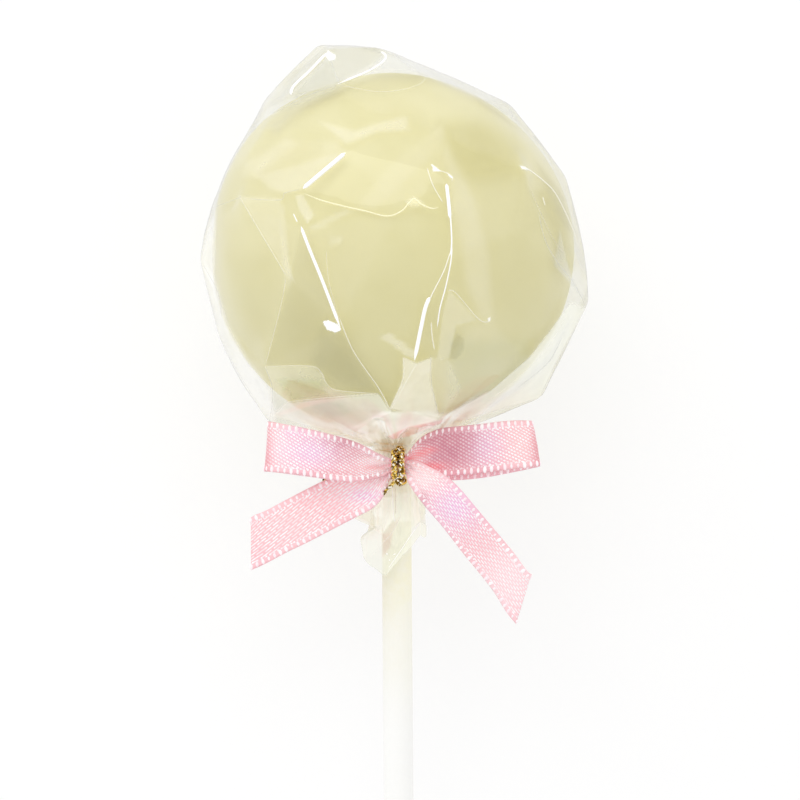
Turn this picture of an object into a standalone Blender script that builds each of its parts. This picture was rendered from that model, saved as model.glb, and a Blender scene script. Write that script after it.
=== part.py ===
import math
import random

import bmesh
import bpy
from mathutils import Matrix, Vector

# A ball of coated cake on a paper stick, in a clear bag that is gathered under the ball
# and closed with a ribbon bow and a gold wire. It lies on its back.
# Sizes are in millimetres. While it is built, the ball's centre is the origin, +Z runs
# up the stick to the ball's top, -Y is the shown side and +X is to its right.

MM = 0.001

# Ball and resting pose
BALL_R = 24.45
REST_H = 25.0         # ball's centre above the floor
REST_BULGE = 1.25     # how far the bag's back reaches past the floor before it is cut flat
GAP = 0.3             # between the stick and the bag round it

# Paper stick
STICK_R = 2.0
STICK_X = 0.40        # the ball sits a little to the left of its stick
STICK_TOP = 5.0
STICK_END = -145.0
STICK_ROUND = 0.25

# Bag: corners round its outline as (bearing from the top, clockwise, in degrees; reach; depth)
OUTLINE = [
    (-19.1, 29.7, -2.0), (-12.1, 28.9, 2.5), (-2.2, 27.6, -2.5), (14.6, 25.6, 2.0),
    (38.7, 25.7, -3.0), (56.7, 25.0, 2.0), (67.0, 25.8, -2.0), (77.3, 25.2, 3.0),
    (89.2, 26.0, -2.0), (99.7, 26.9, 2.0), (104.7, 27.4, -2.5), (116.7, 26.6, 3.0),
    (134.2, 28.1, -1.0), (152.8, 25.5, 1.5), (216.1, 28.2, -1.0), (233.8, 26.6, 2.5),
    (243.6, 26.0, -3.0), (255.9, 25.2, 3.0), (269.3, 26.0, -1.0), (284.2, 25.5, 2.5),
    (310.6, 25.4, -2.5), (321.2, 27.0, 2.0), (328.4, 27.6, -2.0),
]
# Corners of the creases on the shown side as (x, z, stand-off from the ball)
CREASES = [
    (-8.4, 27.6, 4.6), (-13.5, 21.7, 2.2), (-6.9, 22.9, 1.7), (4.4, 24.1, 1.3),
    (-6.2, 13.6, 1.7), (-11.9, 8.7, 2.4), (-12.1, 3.6, 1.9), (-7.0, -10.1, 1.9),
    (-20.3, 6.8, 1.2), (-13.3, -3.5, 0.9), (-17.2, -15.1, 2.2), (-9.6, -17.6, 1.0),
    (-0.6, -21.2, 2.0), (1.0, 5.8, 0.7), (7.7, 9.8, 2.6), (8.0, -0.9, 2.3),
    (3.5, -14.6, 2.4), (7.8, 15.6, 1.1), (13.1, -9.1, 1.3), (7.2, -14.5, 1.3),
    (17.7, 11.5, 1.5), (22.0, -1.9, 1.2), (19.0, -14.0, 1.5), (6.3, -22.3, 1.6),
    (17.0, 3.0, 0.7), (-2.0, 19.0, 0.7), (12.5, 20.5, 0.8), (-19.5, 13.0, 0.9),
]
BACK_ROWS = [(30.0, 7, 0.9, 1.6), (52.0, 11, 0.8, 2.4), (72.0, 15, 0.7, 2.2)]
BACK_SEED = 14

# Gathered neck and the short skirt under the tie: (height, radius, depth of the pleats)
NECK_RINGS = [
    (-22.0, 6.5, 0.0), (-24.6, 6.5, 0.04), (-25.8, 4.8, 0.08), (-26.5, 3.45, 0.06),
    (-27.0, 3.10, 0.03), (-30.4, 3.10, 0.03), (-31.2, 3.25, 0.05),
]
PLEATS = 9
NECK_SIDES = 54
SKIRT_RINGS = 7
# Round the skirt's ragged edge, as (angle from +X towards the back, height, radius)
SKIRT_EDGE = [
    (0, -37.6, 3.9), (45, -36.8, 4.6), (90, -38.6, 4.4), (130, -37.4, 4.9), (158, -35.9, 5.8),
    (173, -37.2, 3.1), (187, -38.5, 5.0), (205, -40.6, 4.9), (225, -42.4, 4.7),
    (247, -43.4, 3.9), (270, -41.6, 3.5), (300, -39.2, 3.6), (325, -38.3, 4.5),
    (342, -38.1, 4.2), (360, -37.6, 3.9),
]

# Ribbon
RIBBON_T = 0.5
ACROSS = 4            # strips across a band
# Stations along each band: x, y, z, half width, roll of the width towards +X, its pitch
# towards the viewer
LEFT_LOOP = [
    (1.0, -6.2, -28.6, 0.75, 0, 0), (-0.5, -6.3, -28.6, 0.95, 0, 0),
    (-1.6, -6.9, -28.7, 1.45, 0, 0), (-3.0, -8.0, -28.5, 2.0, 0, 0),
    (-4.5, -9.0, -28.15, 2.55, -3, 0), (-6.6, -9.9, -27.75, 3.0, -6, 0),
    (-9.3, -10.4, -27.2, 3.2, -6, 0), (-12.0, -10.4, -26.65, 3.25, -4, 0),
    (-14.6, -9.9, -26.25, 3.3, 0, 0), (-16.3, -9.1, -26.0, 3.35, 3, 0),
    (-16.95, -8.1, -25.95, 3.35, 4, 0), (-16.2, -7.2, -26.05, 3.3, 3, 0),
    (-13.6, -6.6, -26.5, 3.25, 0, 0), (-10.0, -6.2, -27.1, 3.15, 0, 0),
    (-6.4, -5.9, -27.9, 2.75, 0, 0), (-3.6, -5.75, -28.45, 2.1, 0, 0),
    (-1.6, -5.5, -28.6, 1.45, 0, 0), (-0.5, -5.4, -28.6, 0.95, 0, 0),
    (1.0, -5.4, -28.6, 0.75, 0, 0),
]
RIGHT_LOOP = [
    (0.4, -6.2, -28.6, 0.75, 0, 0), (1.9, -6.25, -28.6, 0.95, 0, 0),
    (3.0, -6.6, -28.25, 1.7, 3, 0), (4.4, -7.3, -27.75, 2.5, 6, 0),
    (6.4, -8.2, -27.3, 3.1, 6, 0), (9.0, -9.1, -26.95, 3.3, 4, 0),
    (12.2, -9.6, -26.5, 3.3, 2, 0), (15.6, -9.4, -26.05, 3.25, -3, 0),
    (18.2, -8.7, -25.85, 3.15, -8, 0), (19.3, -7.9, -25.85, 3.1, -10, 0),
    (18.6, -7.1, -26.0, 3.15, -9, 0), (15.6, -6.5, -26.55, 3.2, -4, 0),
    (12.0, -6.1, -27.2, 3.2, 0, 0), (8.4, -5.8, -27.75, 2.95, 0, 0),
    (5.6, -5.65, -28.2, 2.4, 0, 0), (3.4, -5.5, -28.5, 1.6, 0, 0),
    (1.9, -5.4, -28.6, 0.95, 0, 0), (0.4, -5.4, -28.6, 0.75, 0, 0),
]
LEFT_TAIL = [
    (1.0, -5.75, -28.5, 0.6, 0, 0), (-0.5, -5.85, -28.7, 0.8, -8, 0),
    (-2.2, -6.3, -30.1, 1.7, -22, 0), (-4.0, -6.8, -31.7, 2.7, -28, 0),
    (-6.4, -7.1, -32.9, 3.15, -27, 0), (-9.6, -7.2, -34.45, 3.25, -26, 0),
    (-13.0, -7.0, -36.15, 3.25, -26, 0), (-16.2, -6.6, -37.75, 3.25, -25, 0),
    (-19.3, -6.1, -39.2, 3.65, 0, 0),
]
RIGHT_TAIL = [
    (0.4, -5.95, -28.5, 0.6, 0, 0), (1.9, -6.35, -28.7, 0.8, 10, 0),
    (3.3, -8.0, -29.8, 1.7, 45, 10), (5.8, -9.7, -32.1, 2.75, 49, 25),
    (8.4, -10.0, -35.1, 3.15, 50, 35), (11.0, -9.6, -38.4, 3.25, 51, 35),
    (13.9, -8.9, -42.0, 3.25, 52, 32), (15.9, -8.4, -44.8, 3.25, 50, 30),
    (17.4, -8.0, -46.9, 3.9, 17, 20),
]
BAND_STEPS = 3        # pieces between two stations
CORE_AT, CORE_R = (0.7, -5.8, -28.6), (1.5, 1.05, 1.1)

# Gold wire
WIRE_R = 0.45
WRAPS_X = (0.27, 1.15)
WRAP_HALF_Y, WRAP_HALF_Z = 1.68, 1.76
RING_R, RING_Z, RING_TILT = 3.85, -27.45, 0.25
WIRE_SIDES = 10
SHORT_END = [(0.7, -6.4, -30.25), (0.1, -6.6, -30.95), (-0.5, -6.5, -31.5), (-1.4, -6.1, -32.5)]
TWIST_END = [(-2.6, 2.4, -27.7), (-4.7, 0.6, -28.5), (-7.1, -1.2, -29.6), (-9.4, -2.6, -30.5)]
TWIST_TURNS = 3.0
KNOT_AT, KNOT_R = (0.8, -6.3, -30.55), (0.75, 0.6, 0.55)


def clearScene():
    for old in list(bpy.data.objects):
        bpy.data.objects.remove(old, do_unlink=True)
    for old in list(bpy.data.meshes):
        bpy.data.meshes.remove(old)


def newCollection(name):
    found = bpy.data.collections.new(name)
    bpy.context.scene.collection.children.link(found)
    return found


def newMaterial(name, colour, roughness, metallic=0.0, alpha=1.0, coat=0.0):
    found = bpy.data.materials.new(name)
    found.use_nodes = True
    shader = found.node_tree.nodes["Principled BSDF"]
    shader.inputs["Base Color"].default_value = (*colour, 1.0)
    shader.inputs["Roughness"].default_value = roughness
    shader.inputs["Metallic"].default_value = metallic
    shader.inputs["Alpha"].default_value = alpha
    shader.inputs["Coat Weight"].default_value = coat
    found.diffuse_color = (*colour, alpha)
    return found


def layDown():
    """The turn and shift that lay the upright build on its back with the stick's end down."""
    reach = math.hypot(STICK_END, STICK_R)
    lean = math.asin(REST_H / reach) - math.atan2(STICK_R, -STICK_END)
    turn = Matrix.Rotation(lean - math.pi / 2, 4, "X")
    return Matrix.Translation((0, 0, REST_H * MM)) @ turn, lean


def toObject(name, bm, home, material=None):
    bmesh.ops.recalc_face_normals(bm, faces=bm.faces)
    mesh = bpy.data.meshes.new(name)
    bm.to_mesh(mesh)
    bm.free()
    if material:
        mesh.materials.append(material)
    made = bpy.data.objects.new(name, mesh)
    home.objects.link(made)
    return made


def boolean(target, cutter, operation, solver="EXACT"):
    step = target.modifiers.new(cutter.name, "BOOLEAN")
    step.operation = operation
    step.solver = solver
    step.object = cutter
    cutter.hide_render = True
    cutter.display_type = "WIRE"


def settle(target, cutters):
    """Applies the Booleans of one piece and drops the shapes that were joined or cut."""
    bpy.context.view_layer.update()
    graph = bpy.context.evaluated_depsgraph_get()
    mesh = bpy.data.meshes.new_from_object(target.evaluated_get(graph))
    target.modifiers.clear()
    target.data = mesh
    for cutter in cutters:
        bpy.data.objects.remove(cutter, do_unlink=True)


def smoothPath(points, steps):
    """Points of a Catmull-Rom curve through rows of numbers."""
    rows = [points[0]] + list(points) + [points[-1]]
    found = []
    for i in range(1, len(rows) - 2):
        a, b, c, d = rows[i - 1:i + 3]
        for k in range(steps):
            t = k / steps
            found.append([
                0.5 * (2 * q + (r - p) * t + (2 * p - 5 * q + 4 * r - s) * t * t
                       + (3 * q - p - 3 * r + s) * t ** 3)
                for p, q, r, s in zip(a, b, c, d)
            ])
    found.append(list(points[-1]))
    return found


def closeRings(bm, rings):
    """Joins rings of points of one length into a closed skin with a fan at each end."""
    rows = [[bm.verts.new(Vector(p) * MM) for p in ring] for ring in rings]
    for low, high in zip(rows, rows[1:]):
        for i in range(len(low)):
            j = (i + 1) % len(low)
            bm.faces.new((low[i], low[j], high[j], high[i]))
    for row in (rows[0], rows[-1]):
        middle = bm.verts.new(sum((v.co for v in row), Vector()) / len(row))
        for i in range(len(row)):
            bm.faces.new((row[i], row[(i + 1) % len(row)], middle))
    return rows


# ---- bag ----------------------------------------------------------------------------

def bagCorners(lean):
    """Corners of the crumpled film, each as a direction from the ball's centre and a reach."""
    corners = []
    for bearing, reach, depth in OUTLINE:
        turn = math.radians(bearing)
        corners.append(Vector((reach * math.sin(turn), depth, reach * math.cos(turn))))
    for x, z, off in CREASES:
        reach = BALL_R + off
        corners.append(Vector((x, -math.sqrt(max(reach ** 2 - x * x - z * z, 0.25)), z)))
    draw = random.Random(BACK_SEED)
    restWay = Vector((0, math.cos(lean), -math.sin(lean)))
    corners.append(restWay * (REST_H + REST_BULGE))
    toBack = restWay.to_track_quat("Z", "Y")
    for angle, count, low, high in BACK_ROWS:
        for i in range(count):
            tilt = math.radians(angle + draw.uniform(-3, 3))
            spin = 2 * math.pi * (i + draw.uniform(0.3, 0.7)) / count
            way = toBack @ Vector((
                math.sin(tilt) * math.cos(spin), math.sin(tilt) * math.sin(spin), math.cos(tilt)))
            if way.z < -0.88:
                continue
            corners.append(way * (BALL_R + draw.uniform(low, high)))
    for i in range(8):
        spin = 2 * math.pi * (i + 0.5) / 8
        front = math.sin(spin) < 0
        corners.append(Vector((
            STICK_X + 7.4 * math.cos(spin), 7.4 * math.sin(spin), -24.2 if front else -25.2)))
    corners.append(Vector((STICK_X, 0, -26.0)))
    return corners


def skirtEdge(angle):
    """Height and radius of the skirt's edge at an angle round the stick."""
    for (a, low, wide), (b, nextLow, nextWide) in zip(SKIRT_EDGE, SKIRT_EDGE[1:]):
        if a <= angle <= b:
            t = (angle - a) / (b - a)
            return low + (nextLow - low) * t, wide + (nextWide - wide) * t
    return SKIRT_EDGE[0][1:]


def makeBag(home, cutters, material, lean):
    bm = bmesh.new()
    corners = bagCorners(lean)
    reaches = {}
    for corner in corners:
        reaches[bm.verts.new(corner.normalized())] = corner
    hull = bmesh.ops.convex_hull(bm, input=bm.verts)
    spare = [f for f in hull["geom_interior"] + hull["geom_unused"] if isinstance(f, bmesh.types.BMFace)]
    bmesh.ops.delete(bm, geom=spare, context="FACES")
    for vert, corner in reaches.items():
        vert.co = corner * MM
    bmesh.ops.triangulate(bm, faces=bm.faces)
    bag = toObject("bag", bm, home, material)

    bm = bmesh.new()
    rings = []
    for z, radius, pleat in NECK_RINGS:
        rings.append([
            (STICK_X + math.cos(a) * radius * (1 + pleat * math.cos(PLEATS * a)),
             math.sin(a) * radius * (1 + pleat * math.cos(PLEATS * a)), z)
            for a in (2 * math.pi * i / NECK_SIDES for i in range(NECK_SIDES))
        ])
    top, start = NECK_RINGS[-1][0], NECK_RINGS[-1][1]
    for k in range(1, SKIRT_RINGS + 1):
        share = k / SKIRT_RINGS
        ring = []
        for i in range(NECK_SIDES):
            a = 2 * math.pi * i / NECK_SIDES
            low, wide = skirtEdge(360 * i / NECK_SIDES)
            radius = start + (wide - start) * math.sin(share * math.pi / 2)
            radius = max(radius * (1 + 0.05 * math.cos(PLEATS * a)), 3.0)
            ring.append((STICK_X + radius * math.cos(a), radius * math.sin(a),
                         top + (low - top) * share))
        rings.append(ring)
    closeRings(bm, rings)
    neck = toObject("neck", bm, cutters)
    boolean(bag, neck, "UNION")

    bore = stickShape("bore", cutters, STICK_R + GAP, STICK_TOP + GAP, -60.0, 0.0)
    boolean(bag, bore, "DIFFERENCE")
    settle(bag, (neck, bore))
    return bag


# ---- stick --------------------------------------------------------------------------

def stickShape(name, home, radius, top, end, rounding, material=None):
    bm = bmesh.new()
    profile = [(end, radius - rounding), (end + rounding, radius), (top - rounding, radius),
               (top, radius - rounding)]
    if not rounding:
        profile = [(end, radius), (top, radius)]
    closeRings(bm, [
        [(STICK_X + r * math.cos(a), r * math.sin(a), z)
         for a in (2 * math.pi * i / 48 for i in range(48))]
        for z, r in profile
    ])
    return toObject(name, bm, home, material)


# ---- ribbon -------------------------------------------------------------------------

def makeBand(name, home, stations, material=None):
    """A flat band through its stations, its width turned as they say."""
    rows = smoothPath(stations, BAND_STEPS)
    places = [Vector(row[:3]) for row in rows]
    rings = []
    for i, row in enumerate(rows):
        ahead = (places[min(i + 1, len(rows) - 1)] - places[max(i - 1, 0)]).normalized()
        roll, pitch = math.radians(row[4]), math.radians(row[5])
        width = Vector((math.sin(roll) * math.cos(pitch), -math.sin(pitch),
                        math.cos(roll) * math.cos(pitch))) * row[3]
        out = ahead.cross(width).normalized() * (RIBBON_T / 2)
        share = [2 * k / ACROSS - 1 for k in range(ACROSS + 1)]
        camber = [0.12 * (1 - u * u) for u in share]
        lift = out.normalized()
        upper = [places[i] + width * u + out + lift * c for u, c in zip(share, camber)]
        lower = [places[i] + width * u - out + lift * c for u, c in zip(share, camber)]
        rings.append(upper + lower[::-1])
    bm = bmesh.new()
    closeRings(bm, rings)
    return toObject(name, bm, home, material)


def makeEgg(name, home, centre, radii):
    bm = bmesh.new()
    bmesh.ops.create_uvsphere(bm, u_segments=20, v_segments=12, radius=1.0)
    for vert in bm.verts:
        vert.co = Vector([(c + r * v) * MM for c, r, v in zip(centre, radii, vert.co)])
    return toObject(name, bm, home)


def makeBow(home, cutters, material):
    bow = makeBand("ribbon_bow", home, LEFT_LOOP, material)
    others = [
        makeBand("right_loop", cutters, RIGHT_LOOP),
        makeBand("left_tail", cutters, LEFT_TAIL),
        makeBand("right_tail", cutters, RIGHT_TAIL),
        makeEgg("core", cutters, CORE_AT, CORE_R),
    ]
    for other in others:
        boolean(bow, other, "UNION", "MANIFOLD")
    settle(bow, others)
    return bow


# ---- gold wire ----------------------------------------------------------------------

def makeTube(name, home, places, radius, closed=False, material=None):
    """A round wire along a path; a closed one joins its end to its start."""
    places = [Vector(p) for p in places]
    count = len(places)
    rows, side = [], None
    bm = bmesh.new()
    for i, place in enumerate(places):
        if closed:
            ahead = places[(i + 1) % count] - places[i - 1]
        else:
            ahead = places[min(i + 1, count - 1)] - places[max(i - 1, 0)]
        ahead.normalize()
        if side is None:
            side = ahead.orthogonal()
        side = (side - ahead * side.dot(ahead)).normalized()
        other = ahead.cross(side)
        rows.append([
            place + (side * math.cos(a) + other * math.sin(a)) * radius
            for a in (2 * math.pi * k / WIRE_SIDES for k in range(WIRE_SIDES))
        ])
    if not closed:
        closeRings(bm, rows)
    else:
        verts = [[bm.verts.new(p * MM) for p in row] for row in rows]
        for i in range(count):
            low, high = verts[i], verts[(i + 1) % count]
            for k in range(WIRE_SIDES):
                j = (k + 1) % WIRE_SIDES
                bm.faces.new((low[k], low[j], high[j], high[k]))
    return toObject(name, bm, home, material)


def makeTie(home, cutters, material):
    def wrap(x, lean):
        places = []
        for i in range(32):
            a = 2 * math.pi * i / 32
            places.append((x + lean * math.sin(a), CORE_AT[1] + WRAP_HALF_Y * math.cos(a),
                           CORE_AT[2] + WRAP_HALF_Z * math.sin(a)))
        return places

    tie = makeTube("gold_tie", home, wrap(WRAPS_X[0], 0.06), WIRE_R, True, material)
    others = [makeTube("wrap", cutters, wrap(WRAPS_X[1], -0.08), WIRE_R, True)]
    ring = [
        (STICK_X + RING_R * math.cos(a), RING_R * math.sin(a), RING_Z + RING_TILT * math.sin(a + 2.2))
        for a in (2 * math.pi * i / 40 for i in range(40))
    ]
    others.append(makeTube("ring", cutters, ring, WIRE_R, True))
    others.append(makeTube("short_end", cutters, smoothPath(SHORT_END, 5), WIRE_R * 0.8))
    others.append(makeEgg("knot", cutters, KNOT_AT, KNOT_R))
    middle = [Vector(p) for p in smoothPath(TWIST_END, 10)]
    for start in (0.0, math.pi):
        strand = []
        for i, place in enumerate(middle):
            ahead = (middle[min(i + 1, len(middle) - 1)] - middle[max(i - 1, 0)]).normalized()
            side = ahead.cross(Vector((0, 0, 1))).normalized()
            other = ahead.cross(side)
            a = start + 2 * math.pi * TWIST_TURNS * i / (len(middle) - 1)
            strand.append(place + (side * math.cos(a) + other * math.sin(a)) * WIRE_R * 0.72)
        others.append(makeTube("strand", cutters, strand, WIRE_R * 0.82))
    for other in others:
        boolean(tie, other, "UNION")
    settle(tie, others)
    return tie


# ---- the whole ----------------------------------------------------------------------

def cutFlat(bag):
    """Cuts the bag's back off at the floor, which leaves the small flat spot it rests on."""
    bm = bmesh.new()
    bm.from_mesh(bag.data)
    whole = list(bm.verts) + list(bm.edges) + list(bm.faces)
    cut = bmesh.ops.bisect_plane(bm, geom=whole, plane_co=(0, 0, 0), plane_no=(0, 0, -1),
                                 clear_outer=True, dist=1e-7)
    rim = [e for e in cut["geom_cut"] if isinstance(e, bmesh.types.BMEdge)]
    bmesh.ops.edgeloop_fill(bm, edges=rim)
    bmesh.ops.recalc_face_normals(bm, faces=bm.faces)
    bm.to_mesh(bag.data)
    bm.free()


def build():
    clearScene()
    home = newCollection("wrapped_cake_pop")
    cutters = newCollection("cutters")
    film = newMaterial("clear_film", (0.93, 0.92, 0.80), 0.08, alpha=0.55)
    paper = newMaterial("white_paper", (0.93, 0.91, 0.84), 0.6)
    satin = newMaterial("pink_satin", (0.87, 0.42, 0.47), 0.35)
    gold = newMaterial("gold_wire", (0.80, 0.55, 0.18), 0.25, metallic=1.0)

    settled, lean = layDown()
    bag = makeBag(home, cutters, film, lean)
    stick = stickShape("stick", home, STICK_R, STICK_TOP, STICK_END, STICK_ROUND, paper)
    bow = makeBow(home, cutters, satin)
    tie = makeTie(home, cutters, gold)
    for piece in (bag, stick, bow, tie):
        piece.data.transform(settled)
    cutFlat(bag)
    for piece in (stick, bow, tie):
        piece.data.polygons.foreach_set("use_smooth", [True] * len(piece.data.polygons))
        piece.data.set_sharp_from_angle(angle=math.radians(35))
    bpy.data.collections.remove(cutters)


build()
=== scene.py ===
import math
import random

import bmesh
import bpy
from mathutils import Matrix, Vector, noise
from mathutils.bvhtree import BVHTree


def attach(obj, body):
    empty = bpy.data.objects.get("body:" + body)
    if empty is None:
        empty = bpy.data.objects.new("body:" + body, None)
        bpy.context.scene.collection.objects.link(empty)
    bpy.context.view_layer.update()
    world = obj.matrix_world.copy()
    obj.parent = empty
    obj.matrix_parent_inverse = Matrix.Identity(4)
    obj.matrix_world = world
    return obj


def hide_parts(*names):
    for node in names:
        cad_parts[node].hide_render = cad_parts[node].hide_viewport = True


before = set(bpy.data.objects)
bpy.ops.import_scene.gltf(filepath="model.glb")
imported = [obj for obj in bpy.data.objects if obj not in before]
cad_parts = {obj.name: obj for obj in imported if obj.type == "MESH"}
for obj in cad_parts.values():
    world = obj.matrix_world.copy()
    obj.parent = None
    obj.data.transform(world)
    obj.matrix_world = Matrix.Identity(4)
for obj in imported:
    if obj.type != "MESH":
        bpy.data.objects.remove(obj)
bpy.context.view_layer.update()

# The looks of a wrapped cake pop that lies on its back: the ball and the crumpled film round it, the satin
# bow, the gold wire and the paper stick. Each piece is first made upright, with the ball's centre as the
# origin, +Z up the stick and -Y the shown side, and is then laid down by "settled".
# Sizes are in millimetres, but the "Size" of a finish's patches is in metres, as its material reads it.

mm = 0.001
ball = {"radius": 24.45, "restHeight": 25.0}
stick = {"radius": 2.0, "x": 0.40, "end": -145.0}

stickReach = math.hypot(stick["end"], stick["radius"])
lean = math.asin(ball["restHeight"] / stickReach) - math.atan2(stick["radius"], -stick["end"])
settled = Matrix.Translation((0, 0, ball["restHeight"] * mm)) @ Matrix.Rotation(lean - math.pi / 2, 4, "X")


def toPiece(name, bm, material, replaces=None):
    bmesh.ops.recalc_face_normals(bm, faces=bm.faces)
    for face in bm.faces:
        face.smooth = True
    mesh = bpy.data.meshes.new(name)
    bm.to_mesh(mesh)
    bm.free()
    mesh.transform(settled @ Matrix.Scale(mm, 4))
    mesh.materials.append(material)
    piece = bpy.data.objects.new(name, mesh)
    bpy.context.scene.collection.objects.link(piece)
    return rideAlong(piece, replaces)


def rideAlong(piece, replaces=None):
    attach(piece, "root")
    if replaces:
        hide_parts(replaces)
    return piece


def smoothPath(points, steps):
    # Catmull-Rom through rows of numbers
    rows = [points[0]] + list(points) + [points[-1]]
    found = []
    for i in range(1, len(rows) - 2):
        a, b, c, d = rows[i - 1:i + 3]
        for k in range(steps):
            t = k / steps
            found.append([
                0.5 * (2 * q + (r - p) * t + (2 * p - 5 * q + 4 * r - s) * t * t
                       + (3 * q - p - 3 * r + s) * t ** 3)
                for p, q, r, s in zip(a, b, c, d)
            ])
    found.append(list(points[-1]))
    return found


def ease(value, low, high):
    t = min(max((value - low) / (high - low), 0.0), 1.0)
    return t * t * (3 - 2 * t)


def wander(at, size, seed=0.0):
    # Smooth noise from -1 to 1, in swells of about this size
    return noise.noise(Vector(at) / size + Vector((seed, seed * 1.7, -seed)))


def pathObject(name, paths):
    # Paths for a node tree to read: loose edges, with values at their points
    points, edges, values = [], [], {}
    for path in paths:
        start, count = len(points), len(path["points"])
        points += [settled @ (Vector(p) * mm) for p in path["points"]]
        edges += [(start + i, start + i + 1) for i in range(count - 1)]
        if path.get("closed"):
            edges.append((start + count - 1, start))
        for key, row in path.get("values", {}).items():
            values.setdefault(key, []).extend(row)
    mesh = bpy.data.meshes.new(name)
    mesh.from_pydata(points, edges, [])
    for key, row in values.items():
        if isinstance(row[0], Vector):
            layer = mesh.attributes.new(key, "FLOAT_VECTOR", "POINT")
            turned = row if key == "tone" else [settled.to_3x3() @ v for v in row]
            layer.data.foreach_set("vector", [c for v in turned for c in v])
        else:
            layer = mesh.attributes.new(key, "FLOAT", "POINT")
            layer.data.foreach_set("value", row)
    holder = bpy.data.objects.new(name, mesh)
    bpy.context.scene.collection.objects.link(holder)
    return holder


def growMesh(holder, tree, values):
    # Runs a node tree on the holder and keeps the result as its plain mesh
    step = holder.modifiers.new(tree.name, "NODES")
    step.node_group = tree
    for item in tree.interface.items_tree:
        if item.item_type == "SOCKET" and item.in_out == "INPUT" and item.name in values:
            step[item.identifier] = values[item.name]
    bpy.context.view_layer.update()
    graph = bpy.context.evaluated_depsgraph_get()
    mesh = bpy.data.meshes.new_from_object(holder.evaluated_get(graph))
    holder.modifiers.remove(step)
    holder.data = mesh


def newTree(name, kind, inputs, outputs):
    tree = bpy.data.node_groups.new(name, kind)
    for socket, (form, value) in inputs.items():
        made = tree.interface.new_socket(socket, in_out="INPUT", socket_type="NodeSocket" + form)
        if value is not None:
            made.default_value = value
    for socket, form in outputs.items():
        tree.interface.new_socket(socket, in_out="OUTPUT", socket_type="NodeSocket" + form)
    return tree, tree.nodes.new("NodeGroupInput"), tree.nodes.new("NodeGroupOutput")


def feed(tree, socket, value):
    if isinstance(value, bpy.types.NodeSocket):
        tree.links.new(value, socket)
    elif value is not None:
        socket.default_value = value


def place(tree, kind, settings=None, **inputs):
    # One node: settings are its properties, inputs go to the sockets of those names or numbers
    node = tree.nodes.new(kind)
    for key, value in (settings or {}).items():
        setattr(node, key, value)
    for key, value in inputs.items():
        key = int(key[2:]) if key.startswith("at") and key[2:].isdigit() else key.replace("_", " ")
        feed(tree, node.inputs[key], value)
    return node


def calc(tree, operation, a, b=None, c=None):
    node = tree.nodes.new("ShaderNodeMath")
    node.operation = operation
    for socket, value in zip(node.inputs, (a, b, c)):
        feed(tree, socket, value)
    return node.outputs[0]


def vectorCalc(tree, operation, a, b=None, scale=None):
    node = tree.nodes.new("ShaderNodeVectorMath")
    node.operation = operation
    feed(tree, node.inputs[0], a)
    feed(tree, node.inputs[1], b)
    if scale is not None:
        feed(tree, node.inputs["Scale"], scale)
    return node.outputs["Value" if operation == "DISTANCE" else "Vector"]


view = {
    "distance": 900.0,
    "looksAt": (0.997, 0.0, -19.87),      # the point in the middle of the picture
    "roll": 0.00782,                      # the stick leans this much in the picture
    "fieldWidth": 108.1,                  # what the picture spans at that distance
    "sensor": 36,
    "clip": (0.01, 20),
}


def inPicture(point):
    # Where a point shows in the front view, measured at the depth of the ball's centre
    near = view["distance"] / (view["distance"] + point.y)
    x, z = view["looksAt"][0], view["looksAt"][2]
    return x + (point.x - x) * near, z + (point.z - z) * near


def fromPicture(x, z, depth):
    # The point at this depth that shows at a place in the front view
    far = 1 + depth / view["distance"]
    lookX, lookZ = view["looksAt"][0], view["looksAt"][2]
    return Vector((lookX + (x - lookX) * far, depth, lookZ + (z - lookZ) * far))


studio = {
    "world": 0.85,
    "key": {"at": (-150, -500, 560), "size": 700, "power": 2.0},
    "aim": (0, 0, -12),                   # what the softbox points at
    "clearLayers": 48,                    # see-through faces that a ray may pass
    "floor": {"size": 4.0, "shade": 0.30, "glow": 0.70, "roughness": 0.9},
}


def makeCamera():
    target = Vector(view["looksAt"]) * mm
    eye = settled @ (target + Vector((0, -view["distance"], 0)) * mm)
    target = settled @ target
    up = settled.to_3x3() @ Vector((view["roll"], 0, 1))
    back = (eye - target).normalized()
    right = up.cross(back).normalized()
    turn = Matrix((right, back.cross(right), back)).transposed().to_4x4()
    turn.translation = eye
    lens = bpy.data.cameras.new("front")
    lens.sensor_width = view["sensor"]
    lens.lens = view["sensor"] * view["distance"] / view["fieldWidth"]
    lens.clip_start, lens.clip_end = view["clip"]
    camera = bpy.data.objects.new("front", lens)
    camera.matrix_world = turn
    bpy.context.scene.collection.objects.link(camera)
    bpy.context.scene.camera = camera


def makeSoftbox(name, at, size, power):
    light = bpy.data.lights.new(name, "AREA")
    light.shape, light.size, light.energy = "SQUARE", size * mm, power
    box = bpy.data.objects.new(name, light)
    box.location = settled @ (Vector(at) * mm)
    aim = settled @ (Vector(studio["aim"]) * mm) - box.location
    box.rotation_euler = aim.to_track_quat("-Z", "Y").to_euler()
    bpy.context.scene.collection.objects.link(box)


def makeStudio():
    scene = bpy.context.scene
    world = bpy.data.worlds.new("studio")
    scene.world = world
    world.use_nodes = True
    sky = world.node_tree.nodes["Background"]
    sky.inputs["Color"].default_value = (1, 1, 1, 1)
    sky.inputs["Strength"].default_value = studio["world"]
    makeSoftbox("key", **studio["key"])
    scene.view_settings.view_transform = "Standard"
    scene.cycles.transparent_max_bounces = studio["clearLayers"]
    makeFloor(**studio["floor"])


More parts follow.
